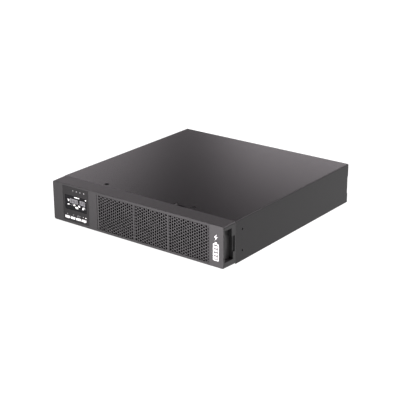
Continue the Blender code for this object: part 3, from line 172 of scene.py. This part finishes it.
class Shape:
    """A mesh in the making, in millimetres."""

    def __init__(self):
        self.bm = bmesh.new()

    def box(self, low, high):
        low, high = Vector(low), Vector(high)
        span = Matrix.Translation((low + high) / 2) @ Matrix.Diagonal((*(high - low), 1))
        bmesh.ops.create_cube(self.bm, size=1, matrix=span)
        return self

    def rod(self, centre, axis, radius, length, sides=32):
        bmesh.ops.create_cone(
            self.bm,
            cap_ends=True,
            segments=sides,
            radius1=radius,
            radius2=radius,
            depth=length,
            matrix=Matrix.Translation(centre) @ ALONG[axis],
        )
        return self

    def plate(self, outlines, axis, low, high):
        """A flat outline, with the holes inside it, from low to high along an axis."""
        curve = bpy.data.curves.new("outline", "CURVE")
        curve.dimensions = "2D"
        curve.fill_mode = "BOTH"
        curve.extrude = (high - low) / 2
        for outline in outlines:
            spline = curve.splines.new("POLY")
            spline.points.add(len(outline) - 1)
            for point, (x, y) in zip(spline.points, outline):
                point.co = (x, y, 0, 1)
            spline.use_cyclic_u = True
        guide = bpy.data.objects.new("outline", curve)
        bpy.context.scene.collection.objects.link(guide)
        graph = bpy.context.evaluated_depsgraph_get()
        mesh = bpy.data.meshes.new_from_object(guide.evaluated_get(graph))
        offset = Vector((0, 0, 0))
        offset["XYZ".index(axis)] = (low + high) / 2
        mesh.transform(Matrix.Translation(offset) @ ACROSS[axis])
        before = set(self.bm.verts)
        self.bm.from_mesh(mesh)
        fresh = [v for v in self.bm.verts if v not in before]
        bmesh.ops.remove_doubles(self.bm, verts=fresh, dist=0.001)
        bpy.data.objects.remove(guide, do_unlink=True)
        return self

    def loft(self, loops):
        """A closed skin through loops of (x, y, z) points, each with as many points."""
        rings = [[self.bm.verts.new(point) for point in loop] for loop in loops]
        for first, second in zip(rings, rings[1:]):
            for i in range(len(first)):
                j = (i + 1) % len(first)
                self.bm.faces.new((first[i], first[j], second[j], second[i]))
        self.bm.faces.new(rings[0])
        self.bm.faces.new(rings[-1])
        return self

    def wire(self, path, radius, sides=10):
        """A round wire along a path of points."""
        points = [Vector(p) for p in path]
        loops = []
        for i, point in enumerate(points):
            ahead = points[min(i + 1, len(points) - 1)] - points[max(i - 1, 0)]
            turn = ahead.to_track_quat("Z", "Y")
            ring = circle((0, 0), radius, sides)
            loops.append([point + turn @ Vector((x, y, 0)) for x, y in ring])
        return self.loft(loops)

    def mesh(self, name):
        bmesh.ops.recalc_face_normals(self.bm, faces=self.bm.faces)
        made = bpy.data.meshes.new(name)
        self.bm.to_mesh(made)
        self.bm.free()
        made.transform(Matrix.Scale(MM, 4))
        return made

    def piece(
        self, name, finish, body, slot, stands_for=(), edge=0.0, cuts=(), joins=(), hollow=()
    ):
        """A finished piece on a body: hollowed, joined to, cut, its edges rounded by edge."""
        obj = bpy.data.objects.new(name, self.mesh(name))
        bpy.context.scene.collection.objects.link(obj)
        tools = [(tool.tool(), "DIFFERENCE") for tool in hollow]
        tools += [(tool.tool(), "UNION") for tool in joins]
        tools += [(tool.tool(), "DIFFERENCE") for tool in cuts]
        for tool, operation in tools:
            modifier = obj.modifiers.new("shape", "BOOLEAN")
            modifier.operation = operation
            modifier.solver = "EXACT"
            modifier.object = tool
        if edge:
            rounding = obj.modifiers.new("edges", "BEVEL")
            rounding.width = edge * MM
            rounding.segments = 2
            rounding.limit_method = "ANGLE"
            rounding.angle_limit = BEVEL_ANGLE
        if tools or edge:
            graph = bpy.context.evaluated_depsgraph_get()
            shaped = bpy.data.meshes.new_from_object(obj.evaluated_get(graph))
            obj.modifiers.clear()
            obj.data = shaped
        for tool, _ in tools:
            bpy.data.objects.remove(tool, do_unlink=True)
        obj.data.materials.clear()
        obj.data.materials.append(finish)
        obj.data.shade_smooth()
        obj.data.set_sharp_from_angle(angle=SHARP_ANGLE)
        # Flat faces stay flat, and only the narrow faces round their edges are blended.
        normals = obj.modifiers.new("normals", "WEIGHTED_NORMAL")
        normals.keep_sharp = True
        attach(obj, body)
        if stands_for:
            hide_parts(*stands_for)
        return obj

    def tool(self):
        """A cutter or a joiner, which is removed once it has been used."""
        obj = bpy.data.objects.new("tool", self.mesh("tool"))
        bpy.context.scene.collection.objects.link(obj)
        return obj


def arc(centre, radius, start, end, steps):
    """Points on a circle from one angle to another, in degrees."""
    x, y = centre
    angles = (math.radians(start + (end - start) * i / steps) for i in range(steps + 1))
    return [(x + radius * math.cos(a), y + radius * math.sin(a)) for a in angles]


def circle(centre, radius, sides=16):
    return arc(centre, radius, 0, 360, sides)[:-1]


def rounded(low, high, radius, steps=5):
    """A rectangle's outline with round corners."""
    x0, y0, x1, y1 = low[0] + radius, low[1] + radius, high[0] - radius, high[1] - radius
    points = []
    for cx, cy, start in ((x1, y1, 0), (x0, y1, 90), (x0, y0, 180), (x1, y0, 270)):
        points += arc((cx, cy), radius, start, start + 90, steps)
    return points


def rectangle(low, high):
    return [low, (high[0], low[1]), high, (low[0], high[1])]


def both_sides(low, high):
    """The same box on the right and on the left."""
    return (low, high), ((-high[0], low[1], low[2]), (-low[0], high[1], high[2]))


# --------------------------------------------------------------------- case

# The round end of the bezel's tongue, which reaches into the cover's notch.
TONGUE_X, TONGUE_Y = 72.9, JOINT + 6.4


def cover():
    """The bent top cover, with its holes and the notch for the bezel's tongue."""
    bend, steps = 2.0, 5
    inner, top = bend - SHEET, HEIGHT - bend
    section = [(-HALF, 0.0)]
    section += arc((-HALF + bend, top), bend, 180, 90, steps)
    section += arc((HALF - bend, top), bend, 90, 0, steps)
    section += [(HALF, 0.0), (HALF - SHEET, 0.0)]
    section += arc((HALF - bend, top), inner, 0, 90, steps)
    section += arc((-HALF + bend, top), inner, 90, 180, steps)
    section.append((-HALF + SHEET, 0.0))
    screw_x, screw_y, ear_y, ear_zs = 111, JOINT + 10, JOINT + 21.5, (21.0, 64.4)
    holes, notch = Shape(), Shape()
    for side in SIDES:
        holes.rod((side * screw_x, screw_y, HEIGHT), "Z", 5.3, 6, 48)
        for z in ear_zs:
            holes.rod((side * HALF, ear_y, z), "X", 2, 6, 24)
        # The relief in the rear edge.
        left, right = sorted((side * (HALF - 4), side * (HALF + 1)))
        holes.box((left, REAR - 1.6, 20), (right, REAR + 1, 59))
    outline = [(68.5, JOINT - 2), (99.2, JOINT - 2), (99.2, JOINT + 3.8), (77.2, JOINT + 3.8)]
    outline += arc((TONGUE_X - 0.05, TONGUE_Y), 4.35, 0, 180, 12)
    notch.plate([outline], "Z", HEIGHT - 3, HEIGHT + 3)
    Shape().plate([section], "Y", JOINT + 0.1, REAR).piece(
        "cover", PAINT, "chassis", "painted_steel", ["top_cover"], 0, [holes, notch]
    )
    rivets, dishes, middles = Shape(), Shape(), Shape()
    for side in SIDES:
        dishes.rod((side * screw_x, screw_y, HEIGHT - 0.85), "Z", 5.2, 0.7, 48)
        middles.rod((side * screw_x, screw_y, HEIGHT), "Z", 4.3, 6, 48)
        for y in (89, 238, 354):
            rivets.rod((side * (HALF - 1.05), JOINT + y, 8), "X", 2.6, 1.9, 24)
    dishes.piece("screw_dishes", BLACK, "chassis", "zinc_steel", cuts=[middles])
    rivets.piece("cover_rivets", ZINC, "chassis", "zinc_steel", edge=0.3)


# -------------------------------------------------------------------- bezel

WINDOWS = ((-98.0, -3.1), (0.9, 83.5), (87.5, 182.6))
WINDOW_Z = (6.3, 80.2)
MODULE_LOW, MODULE_HIGH = (-191.0, 7.2), (-120.5, 81.8)
PLATE_LEFT = 186.3
# The sheet behind the windows, as x and z of two corners.
SHEET_LOW, SHEET_HIGH = (-99.7, 4.9), (184.7, 81.6)


def bezel_loop(y, left, right, low, high, radius):
    return [(x, y, z) for x, z in rounded((left, low), (right, high), radius)]


def bezel():
    """The hollow frame with its windows, seats, finger grips, guide and tongue."""
    shell = Shape().loft(
        [
            bezel_loop(FACE, -218.6, 216.9, 1.6, 84.9, 3.4),
            bezel_loop(FACE + 0.3, -218.9, 217.5, 1.2, 85.3, 3.7),
            bezel_loop(FACE + 1.0, -219.0, 217.8, 1.1, 85.5, 3.8),
            bezel_loop(JOINT, -HALF, HALF, 0.5, HEIGHT, 3.4),
        ]
    )
    inside = Shape().box((-215.3, FACE + 2.5, 4.4), (215.3, JOINT + 5, 83.8))
    guide, walls, prongs, tongue = Shape(), Shape(), Shape(), Shape()
    ring = [
        rectangle((MODULE_LOW[0] - 2.3, MODULE_LOW[1] - 2.3), (MODULE_HIGH[0] + 2.3, 83.9)),
        rectangle((MODULE_LOW[0] - 0.3, MODULE_LOW[1] - 0.3), (MODULE_HIGH[0] + 0.3, 82.1)),
    ]
    guide.plate(ring, "Y", FACE + 1, FACE + 22)
    for low, high in both_sides((208, FRONT + 2, 11), (217, FRONT + 36, 79)):
        walls.box(low, high)
    for z in (20, 66):
        for low, high in both_sides((213.8, JOINT - 3, z - 4), (216, JOINT + 9, z + 4)):
            prongs.box(low, high)
    lip = [(69.8, JOINT - 8), (76.0, JOINT - 8), (76.0, TONGUE_Y)]
    lip += arc((TONGUE_X, TONGUE_Y), 3.1, 0, 180, 12)
    tongue.plate([lip], "Z", HEIGHT - 1.4, HEIGHT - 0.35)
    face_cuts, seats, grips, toes, pads, slots = (Shape() for _ in range(6))
    low, high = WINDOW_Z
    for left, right in WINDOWS:
        face_cuts.box((left, FACE - 5, low), (right, FACE + 3, high))
    seats.box((-100.0, FACE + 1.0, 4.6), (185.0, FACE + 4, 81.9))
    face_cuts.plate([rounded((-191.3, 6.9), (-120.2, 82.1), 0.6, 2)], "Y", FACE - 5, FACE + 8)
    seats.box((PLATE_LEFT - 0.3, FACE - 5, -1), (240, FACE + 0.9, 100))
    for low, high in both_sides((210, FRONT + 3.4, 13), (224, FRONT + 24.5, 77)):
        grips.box(low, high)
    for low, high in both_sides((210, FRONT + 10, 13), (224, FRONT + 28.7, 60)):
        toes.box(low, high)
    for low, high in both_sides((216.3, FRONT + 20, 27.8), (224, FRONT + 34.1, 60)):
        pads.box(low, high)
    for low, high in both_sides((213.9, FRONT + 28, 39.5), (217.2, JOINT + 2, 49.5)):
        slots.box(low, high)
    shell.piece(
        "bezel_body",
        BEZEL,
        "bezel",
        "bezel_plastic",
        ["bezel_frame"],
        0,
        [face_cuts, seats, grips, toes, pads, slots],
        [guide, walls, prongs, tongue],
        [inside],
    )
    # What is left of the walls in front of the recess reaches in past the sheet.
    # The rib takes the end plate's lighter plastic: a painted highlight along the tongue's
    # right edge.
    rib = Shape().box((74.6, JOINT - 4.6, HEIGHT - 0.4), (76.0, JOINT + 5.4, HEIGHT - 0.02))
    rib.piece("tongue_rib", PLATE, "bezel", "bezel_plastic", edge=0.15)


def grille():
    """The perforated sheet. Its outermost holes are cut off by the bezel's edges."""
    row_pitch, column_pitch, radius = 6.195, 5.37, 2.5
    middle_z, last_x = 43.4, 176.6
    columns, behind_bars = range(-1, 51), (17, 33)
    low, high = WINDOW_Z[0] - 0.6, WINDOW_Z[1] + 0.6
    outlines = [rectangle(SHEET_LOW, SHEET_HIGH)]
    for column in columns:
        if column in behind_bars:
            continue
        x = last_x - column * column_pitch
        rows = 12 if column % 2 == 0 else 13
        for row in range(rows):
            z = middle_z + (row - (rows - 1) / 2) * row_pitch
            if z + radius > high:
                reach = math.degrees(math.asin((high - z) / radius))
                outlines.append(arc((x, z), radius, 180 - reach, 360 + reach, 10))
            elif z - radius < low:
                reach = math.degrees(math.asin((z - low) / radius))
                outlines.append(arc((x, z), radius, -reach, 180 + reach, 10))
            else:
                outlines.append(circle((x, z), radius, 14))
    Shape().plate(outlines, "Y", FACE + 1.02, FACE + 1.82).piece(
        "grille", GRILLE, "bezel", "bezel_plastic", ["grille_mesh"]
    )
    # A thin filter cloth behind the sheet, in one length. Its near-black colour is partly
    # painted shade, standing in for the shade inside the holes.
    Shape().box((-99.5, FACE + 2.6, 5.0), (184.5, FACE + 3.6, 81.5)).piece(
        "dust_filter", CLOTH_PAINTED_SHADE, "bezel", "bezel_plastic"
    )


def end_plate():
    """The raised plate, with a generic picture of a charged battery printed on it."""
    left, right, low, high, radius = PLATE_LEFT, 217.4, 1.7, 85.2, 3.6
    outline = [(left, low)]
    outline += arc((right - radius, low + radius), radius, -90, 0, 6)
    outline += arc((right - radius, high - radius), radius, 0, 90, 6)
    outline.append((left, high))
    Shape().plate([outline], "Y", FRONT + 0.06, FRONT + 1.5).piece(
        "badge_plate", PLATE, "bezel", "end_plate_plastic", ["end_plate"], 0.4
    )
    print_front, print_rear = FRONT, FRONT + 0.1
    case = rounded((193.2, 14.6), (206.8, 49.0), 2.2, 4)
    hollow = rounded((195.2, 16.6), (204.8, 47.0), 1.0, 3)
    marks = Shape().plate([case, hollow], "Y", print_front, print_rear)
    marks.plate([rounded((197.2, 49.8), (202.8, 52.4), 0.8, 3)], "Y", print_front, print_rear)
    for level in range(4):
        z = 18.2 + 7.2 * level
        marks.plate([rectangle((196.6, z), (203.4, z + 5.0))], "Y", print_front, print_rear)
    bolt = [(201.8, 68.4), (195.8, 61.2), (199.4, 61.2), (197.6, 55.0)]
    bolt += [(204.2, 62.8), (200.4, 62.8)]
    marks.plate([bolt], "Y", print_front, print_rear)
    marks.piece("badge_print", MARK, "bezel", "button_white")


def latches():
    """The push latches: a grooved pad and the arm that hooks into the case."""
    for side, name in zip(SIDES, ("left", "right")):
        pad = sorted((side * 211.0, side * 216.4))
        arm = sorted((side * 214.6, side * 216.2))
        groove = sorted((side * 216.0, side * 219.0))
        reach = Shape().box((arm[0], FRONT + 30, 40.5), (arm[1], JOINT + 8, 48.5))
        grooves = Shape()
        for z in (36, 40, 44, 48, 52):
            grooves.box((groove[0], FRONT + 29.6, z - 0.4), (groove[1], FRONT + 33.2, z + 0.4))
        Shape().box((pad[0], FRONT + 28.9, 29.4), (pad[1], FRONT + 33.9, 58.5)).piece(
            "latch_pad_" + name,
            BEZEL,
            "latch_" + name,
            "bezel_plastic",
            ["bezel_latch_" + name],
            0.25,
            [grooves],
            [reach],
        )


# ------------------------------------------------------------------ display

SCREEN = ((-185.6, 31.8), (-126.4, 63.3))
INDICATORS = [(-162.9 + 10 * i, 74.2) for i in range(4)]
KEYS = [-180.6 + 15.1 * i for i in range(4)]
MODULE_FRONT = FACE + 0.1


def display_module():
    """The housing with its openings, the window and the light pipe."""
    front = MODULE_FRONT
    hollow, openings = Shape(), Shape()
    hollow.box((-189.2, front + 2, 9.0), (-122.3, front + 30, 80.0))
    openings.plate([rounded(*SCREEN, 0.8, 3)], "Y", front - 1, front + 5)
    for x, z in INDICATORS:
        openings.rod((x, front, z), "Y", 1.5, 10, 24)
    for x in KEYS:
        opening = rounded((x - 7.0, 11.6), (x + 7.0, 18.0), 1.5, 3)
        openings.plate([opening], "Y", front - 1, front + 5)
    face = rounded(MODULE_LOW, MODULE_HIGH, 1.2, 4)
    Shape().plate([face], "Y", front, front + 20).piece(
        "display_case",
        MODULE,
        "display",
        "display_plastic",
        ["display_housing"],
        0.35,
        [hollow, openings],
    )
    (left, low), (right, high) = SCREEN
    near, far, gap = front + 0.35, front + 2, 0.1
    pane = Shape().box((left + gap, near, low + gap), (right - gap, far, high - gap))
    pane.piece("display_window", GLASS, "display", "screen_glass", ["display_screen"], 0.15)
    pipe = Shape().box((-168, front + 2.2, 72.4), (-128, front + 4, 76.0))
    for x, z in INDICATORS:
        pipe.rod((x, front + 1.5, z), "Y", 1.3, 3.1, 24)
    pipe.piece("indicator_lenses", PIPE, "display", "light_pipe", ["indicator_light_pipe"])


def drawn(name, finish, slot, outlines, low, high):
    """Thin marks on the module, from low to high behind its front face."""
    shape = Shape()
    for outline in outlines:
        shape.plate(outline, "Y", MODULE_FRONT + low, MODULE_FRONT + high)
    shape.piece(name, finish, "display", slot)


def display_marks():
    """What the screen shows and what is printed over the keys, as plain generic shapes."""
    bright = [
        [rounded((-160.2, 59.5), (-146.2, 61.8), 0.8, 3)],
        [circle((-128.9, 60.2), 1.5)],
        [circle((-176.4, 52.0), 2.2)],
        [rounded((-179.4, 41.6), (-174.2, 43.8), 0.9, 3)],
        [rounded((-163.4, 41.6), (-158.2, 44.8), 1.2, 3)],
        [rounded((-158.0, 36.8), (-150.2, 41.0), 1.4, 3)],
        [rounded((-150.0, 41.8), (-144.4, 45.2), 1.2, 3)],
        [[(-138.6, 38.6), (-134.6, 38.6), (-132.2, 44.2), (-137.4, 43.6)]],
    ]
    drawn("screen_symbols", LIT, "screen_glass", bright, 0.27, 0.36)
    pale = [
        [rectangle((-174.6, 42.4), (-163.0, 43.0))],
        [rectangle((-132.6, 40.2), (-128.4, 41.0))],
        [rounded((-172.6, 46.8), (-150.6, 56.2), 0.8, 3)],
        [rounded((-145.2, 46.8), (-130.6, 56.2), 0.8, 3)],
    ]
    drawn("screen_panels", DIM, "screen_glass", pale, 0.27, 0.36)
    bars = []
    for x in (-169.5, -163.0, -156.5, -142.0, -136.0):
        bars.append([rectangle((x, 48.6), (x + 1.1, 54.6))])
        bars.append([rectangle((x + 2.6, 48.6), (x + 3.7, 54.6))])
    drawn("screen_bars", GLASS, "screen_glass", bars, 0.22, 0.28)
    marks = [
        [circle((-180.2, 21.6), 1.0, 20), circle((-180.2, 21.6), 0.55, 20)],
        [rectangle((-165.8, 21.3), (-162.6, 22.1))],
        [[(-152.8, 21.0), (-150.4, 21.0), (-151.6, 23.0)]],
        [[(-147.8, 21.0), (-145.0, 21.0), (-146.4, 23.0)]],
        [[(-137.8, 23.0), (-135.2, 23.0), (-136.5, 21.0)]],
        [rounded((-131.4, 20.8), (-127.4, 23.0), 0.8, 3)],
    ]
    drawn("key_marks", MARK, "button_white", marks, -0.03, 0.05)


def keys():
    for i, x in enumerate(KEYS):
        outline = rounded((x - 6.35, 11.9), (x + 6.35, 17.1), 1.4, 4)
        # Each key's finish glows a little, as painted light.
        Shape().plate([outline], "Y", MODULE_FRONT - 0.4, MODULE_FRONT + 4.0).piece(
            f"key_{i + 1}", KEY, f"button_{i + 1}", "button_white", [f"button_{i + 1}"], 0.5
        )


# --------------------------------------------------------------------- rear


def rear_screws():
    """Cross-head screws round the rear wall, and small ones in the slot cover's corners."""
    screws, crosses = Shape(), Shape()
    for x, z in ((-212, 9), (-212, 78), (-70, 78), (70, 78), (212, 9), (212, 78)):
        screws.rod((x, PANEL_REAR + 0.6, z), "Y", 3.0, 1.2, 24)
        crosses.box((x - 1.6, REAR - 1.4, z - 0.3), (x + 1.6, REAR + 1, z + 0.3))
        crosses.box((x - 0.3, REAR - 1.4, z - 1.6), (x + 0.3, REAR + 1, z - 0.31))
        crosses.box((x - 0.3, REAR - 1.4, z + 0.31), (x + 0.3, REAR + 1, z + 1.6))
    for x in (-205, -115):
        for z in (48, 76):
            screws.rod((x, REAR - 0.35, z), "Y", 2.2, 0.6, 20)
    screws.piece("rear_screws", ZINC, "chassis", "zinc_steel", edge=0.3, cuts=[crosses])


def outlet_contacts():
    """Two contacts side by side in each outlet, and a third above them."""
    contacts = Shape()
    for x in (20, -14, -48):
        for z in (62, 24):
            for dx, dz in ((-7, -2), (7, -2), (0, 2)):
                low = (x + dx - 1, REAR - 16, z + dz - 2)
                contacts.box(low, (x + dx + 1, REAR - 5, z + dz + 2))
    contacts.piece("outlet_contacts", BRASS, "chassis", "zinc_steel")


def serial_connector():
    """A nine-pin D connector: its flange and shell, the insert, the pins and the nuts."""
    x, z = -190.0, 22.0
    shell, core, insert, pins, nuts = (Shape() for _ in range(5))
    plate = rounded((x - 15.4, z - 6.1), (x + 15.4, z + 6.1), 1.2, 4)
    flange = Shape().plate([plate], "Y", REAR - 4, REAR - 1.4)
    flare = [(x - 8.6, z + 4.2), (x + 8.6, z + 4.2), (x + 7.2, z - 4.2), (x - 7.2, z - 4.2)]
    inner = [(x - 8.0, z + 3.7), (x + 8.0, z + 3.7), (x + 6.7, z - 3.7), (x - 6.7, z - 3.7)]
    shell.plate([flare], "Y", REAR - 4.5, REAR - 0.1)
    core.plate([inner], "Y", REAR - 4, REAR + 1)
    insert.plate([inner], "Y", REAR - 6, REAR - 2.6)
    for i in range(5):
        pins.rod((x - 5.5 + 2.75 * i, REAR - 2, z + 1.4), "Y", 0.5, 2.4, 12)
    for i in range(4):
        pins.rod((x - 4.1 + 2.75 * i, REAR - 2, z - 1.4), "Y", 0.5, 2.4, 12)
    for side in SIDES:
        nuts.rod((x + side * 12.5, REAR - 1.0, z), "Y", 2.4, 1.8, 6)
    flange.piece(
        "serial_flange",
        ZINC,
        "chassis",
        "zinc_steel",
        ["serial_port"],
        0.2,
        [core],
        [shell, nuts],
    )
    insert.piece("serial_insert", SOCKET, "chassis", "socket_plastic")
    pins.piece("serial_pins", BRASS, "chassis", "zinc_steel")


# ------------------------------------------------------------------- inside


def board_parts():
    """Relays, chips and resistors on the main board."""
    board = 12.1
    relays, chips, resistors = Shape(), Shape(), Shape()
    for x, y in ((-60, 150), (-36, 150), (-12, 150), (100, 30), (124, 30)):
        relays.box((x, y, board), (x + 18, y + 14, 29))
    for x in range(-196, -92, 13):
        chips.box((x, 60, board), (x + 9, 66, 15))
        chips.box((x, 76, board), (x + 7, 86, 14))
    for x in range(100, 199, 11):
        resistors.rod((x, 70, 15), "Y", 2.6, 12, 20)
        resistors.rod((x, 96, 15), "Y", 2.0, 8, 20)
    relays.piece("relays", SOCKET, "chassis", "socket_plastic", edge=0.4)
    chips.piece("chips", SOCKET, "chassis", "socket_plastic", edge=0.2)
    resistors.piece("resistors", BAND, "chassis", "capacitor_sleeve", edge=0.4)


def lead(x, bend_x, end_x):
    """A lead's path from the plug, over the batteries, down to a terminal."""
    rise = [(x, 12, 40), (x, 12.6, 60), (x, 11, 68.4), (x, 4, 70.8), (x, -60, 70.8)]
    return rise + [(bend_x, -84, 70.8), (end_x, -87.6, 66)]


def battery_parts():
    """The terminals' caps and the pack's two leads."""
    positive, negative, caps = Shape(), Shape(), Shape()
    for x in (-80, 72):
        positive.box((x, -89.6, 58), (x + 12, -85.8, 66))
    for x in (28, 180):
        caps.box((x, -89.6, 58), (x + 12, -85.8, 66))
    negative.wire(lead(45, 42, 36), 1.3)
    positive.wire(lead(65, 68, 76), 1.3)
    positive.piece("positive_leads", RED, "battery_pack", "terminal_plastic")
    negative.piece("negative_lead", SOCKET, "battery_pack", "socket_plastic")
    caps.piece("negative_caps", SOCKET, "battery_pack", "socket_plastic", edge=0.3)


# ---------------------------------------------------------- stage and light

# The studio's light is white with a faint pink tint.
STUDIO = (1, 0.93, 0.975)

# The two rear cards: the turn at which each one's inner edge stands and how far the edge
# leans for each degree of rise above the foot, with its blur, in degrees, and its strength.
CARD_FOOT = 18.0
RIGHT_EDGE, RIGHT_LEAN, RIGHT_BLUR, RIGHT_GLOW = 36.38, 3.75, 2.69, 2.0
LEFT_EDGE, LEFT_LEAN, LEFT_BLUR, LEFT_GLOW = 40.16, 1.02, 2.88, 1.3
BEND_GLOW = 5.0
# The sky's strength, near the horizon and overhead.
DOME_GLOW = (0.02, 0.5)


def stage():
    """A pale floor that glows enough to stay white under the case."""
    floor = bpy.data.objects.new("floor", bpy.data.meshes.new("floor"))
    flat = bmesh.new()
    bmesh.ops.create_grid(flat, x_segments=1, y_segments=1, size=14)
    flat.to_mesh(floor.data)
    flat.free()
    floor.location.z = -0.2 * MM
    pale = bpy.data.materials.new("pale_floor")
    pale.use_nodes = True
    shader = pale.node_tree.nodes["Principled BSDF"]
    shader.inputs["Base Color"].default_value = (0.25, 0.25, 0.25, 1)
    shader.inputs["Roughness"].default_value = 1.0
    shader.inputs["Specular IOR Level"].default_value = 0.0
    shader.inputs["Emission Color"].default_value = (1, 1, 1, 1)
    shader.inputs["Emission Strength"].default_value = 0.97
    floor.data.materials.append(pale)
    bpy.context.scene.collection.objects.link(floor)


def world_light():
    """Soft cards and a dome, which the cover's top and sides reflect."""
    world = bpy.data.worlds.new("studio")
    bpy.context.scene.world = world
    world.use_nodes = True
    nodes, links = world.node_tree.nodes, world.node_tree.links
    back = nodes["Background"]
    back.inputs["Color"].default_value = (*STUDIO, 1)

    def math_node(operation, first, second=0.5):
        node = nodes.new("ShaderNodeMath")
        node.operation = operation
        for socket, value in zip(node.inputs, (first, second)):
            if isinstance(value, (int, float)):
                socket.default_value = value
            else:
                links.new(value, socket)
        return node.outputs[0]

    def ramp(value, start, end, low, high):
        node = nodes.new("ShaderNodeMapRange")
        node.interpolation_type = "SMOOTHSTEP"
        node.inputs["From Min"].default_value = start
        node.inputs["From Max"].default_value = end
        node.inputs["To Min"].default_value = low
        node.inputs["To Max"].default_value = high
        links.new(value, node.inputs["Value"])
        return node.outputs["Result"]

    place = nodes.new("ShaderNodeTexCoord")
    split = nodes.new("ShaderNodeSeparateXYZ")
    links.new(place.outputs["Generated"], split.inputs["Vector"])
    x, y, z = split.outputs
    # Degrees to the left of +Y, and degrees above the horizon.
    degrees = 57.296
    left_of_rear = math_node("ARCTAN2", math_node("MULTIPLY", x, -1.0), y)
    turn = math_node("MULTIPLY", left_of_rear, degrees)
    rise = math_node("MULTIPLY", math_node("ARCSINE", z), degrees)

    # The inner edges of the two rear cards lean outwards above their foot, and each card
    # fades on its far side, first to a part of its strength and then to nothing.
    above = math_node("SUBTRACT", rise, CARD_FOOT)
    steep = math_node("MAXIMUM", math_node("MULTIPLY", above, RIGHT_LEAN), 0.0)
    right = math_node("ADD", math_node("SUBTRACT", turn, RIGHT_EDGE), steep)
    gentle = math_node("MAXIMUM", math_node("MULTIPLY", above, LEFT_LEAN), -1.0)
    left = math_node("SUBTRACT", math_node("SUBTRACT", turn, LEFT_EDGE), gentle)
    right_card = ramp(right, -RIGHT_BLUR, RIGHT_BLUR, RIGHT_GLOW, 0.0)
    right_card = math_node("MULTIPLY", right_card, ramp(turn, 8.0, 26.0, 0.3, 1.0))
    right_card = math_node("MULTIPLY", right_card, ramp(turn, -50.0, -20.0, 0.0, 1.0))
    left_card = ramp(left, -LEFT_BLUR, LEFT_BLUR, 0.0, LEFT_GLOW)
    left_card = math_node("MULTIPLY", left_card, ramp(turn, 48.0, 75.0, 1.0, 0.3))
    left_card = math_node("MULTIPLY", left_card, ramp(turn, 100.0, 140.0, 1.0, 0.0))

    # A third card, high on the right, lights the cover's right-hand bend.
    lifted = math_node("MULTIPLY", ramp(rise, 22, 30, 0, BEND_GLOW), ramp(rise, 45, 60, 1, 0))
    turned = math_node("MULTIPLY", ramp(turn, -75, -55, 0, 1), ramp(turn, -10, 5, 1, 0))
    cards = math_node("ADD", right_card, left_card)
    cards = math_node("ADD", cards, math_node("MULTIPLY", lifted, turned))
    dome = ramp(rise, 30.0, 75.0, *DOME_GLOW)
    links.new(math_node("ADD", cards, dome), back.inputs["Strength"])


def front_lamp():
    """A low lamp in front, a little to the left, which gloss doesn't mirror."""
    lamp = bpy.data.lights.new("front_card", "AREA")
    lamp.shape = "RECTANGLE"
    lamp.size, lamp.size_y = 0.6, 0.4
    lamp.energy = 9.0
    lamp.spread = math.radians(60)
    lamp.color = STUDIO
    card = bpy.data.objects.new("front_card", lamp)
    card.visible_glossy = False
    card.location = (-0.1, -1.4, 0.15)
    aim = Vector((0.3, 0, 0.4)) - card.location
    card.rotation_euler = aim.to_track_quat("-Z", "Y").to_euler()
    bpy.context.scene.collection.objects.link(card)


def camera():
    lens = bpy.data.cameras.new("camera")
    lens.lens = 100.07
    lens.sensor_width = 36
    seen = bpy.data.objects.new("camera", lens)
    seen.location = (1.3340, -1.7534, 0.8509)
    azimuth, elevation, roll = (math.radians(a) for a in (37.445, 20.588, -0.315))
    turn = (
        Matrix.Rotation(azimuth, 4, "Z")
        @ Matrix.Rotation(math.pi / 2 - elevation, 4, "X")
        @ Matrix.Rotation(roll, 4, "Z")
    )
    seen.rotation_euler = turn.to_euler()
    bpy.context.scene.collection.objects.link(seen)
    bpy.context.scene.camera = seen
    bpy.context.scene.view_settings.view_transform = "Standard"


def finish_cad_nodes():
    """Gives the CAD nodes that stay visible their finish and smooth shading."""
    for finish, names in FINISHES:
        for name in names.split():
            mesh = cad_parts[name].data
            mesh.materials.clear()
            mesh.materials.append(finish)
            mesh.shade_smooth()
            mesh.set_sharp_from_angle(angle=SHARP_ANGLE)


finish_cad_nodes()
cover()
bezel()
grille()
end_plate()
latches()
display_module()
display_marks()
keys()
rear_screws()
outlet_contacts()
serial_connector()
board_parts()
battery_parts()
stage()
world_light()
front_lamp()
camera()
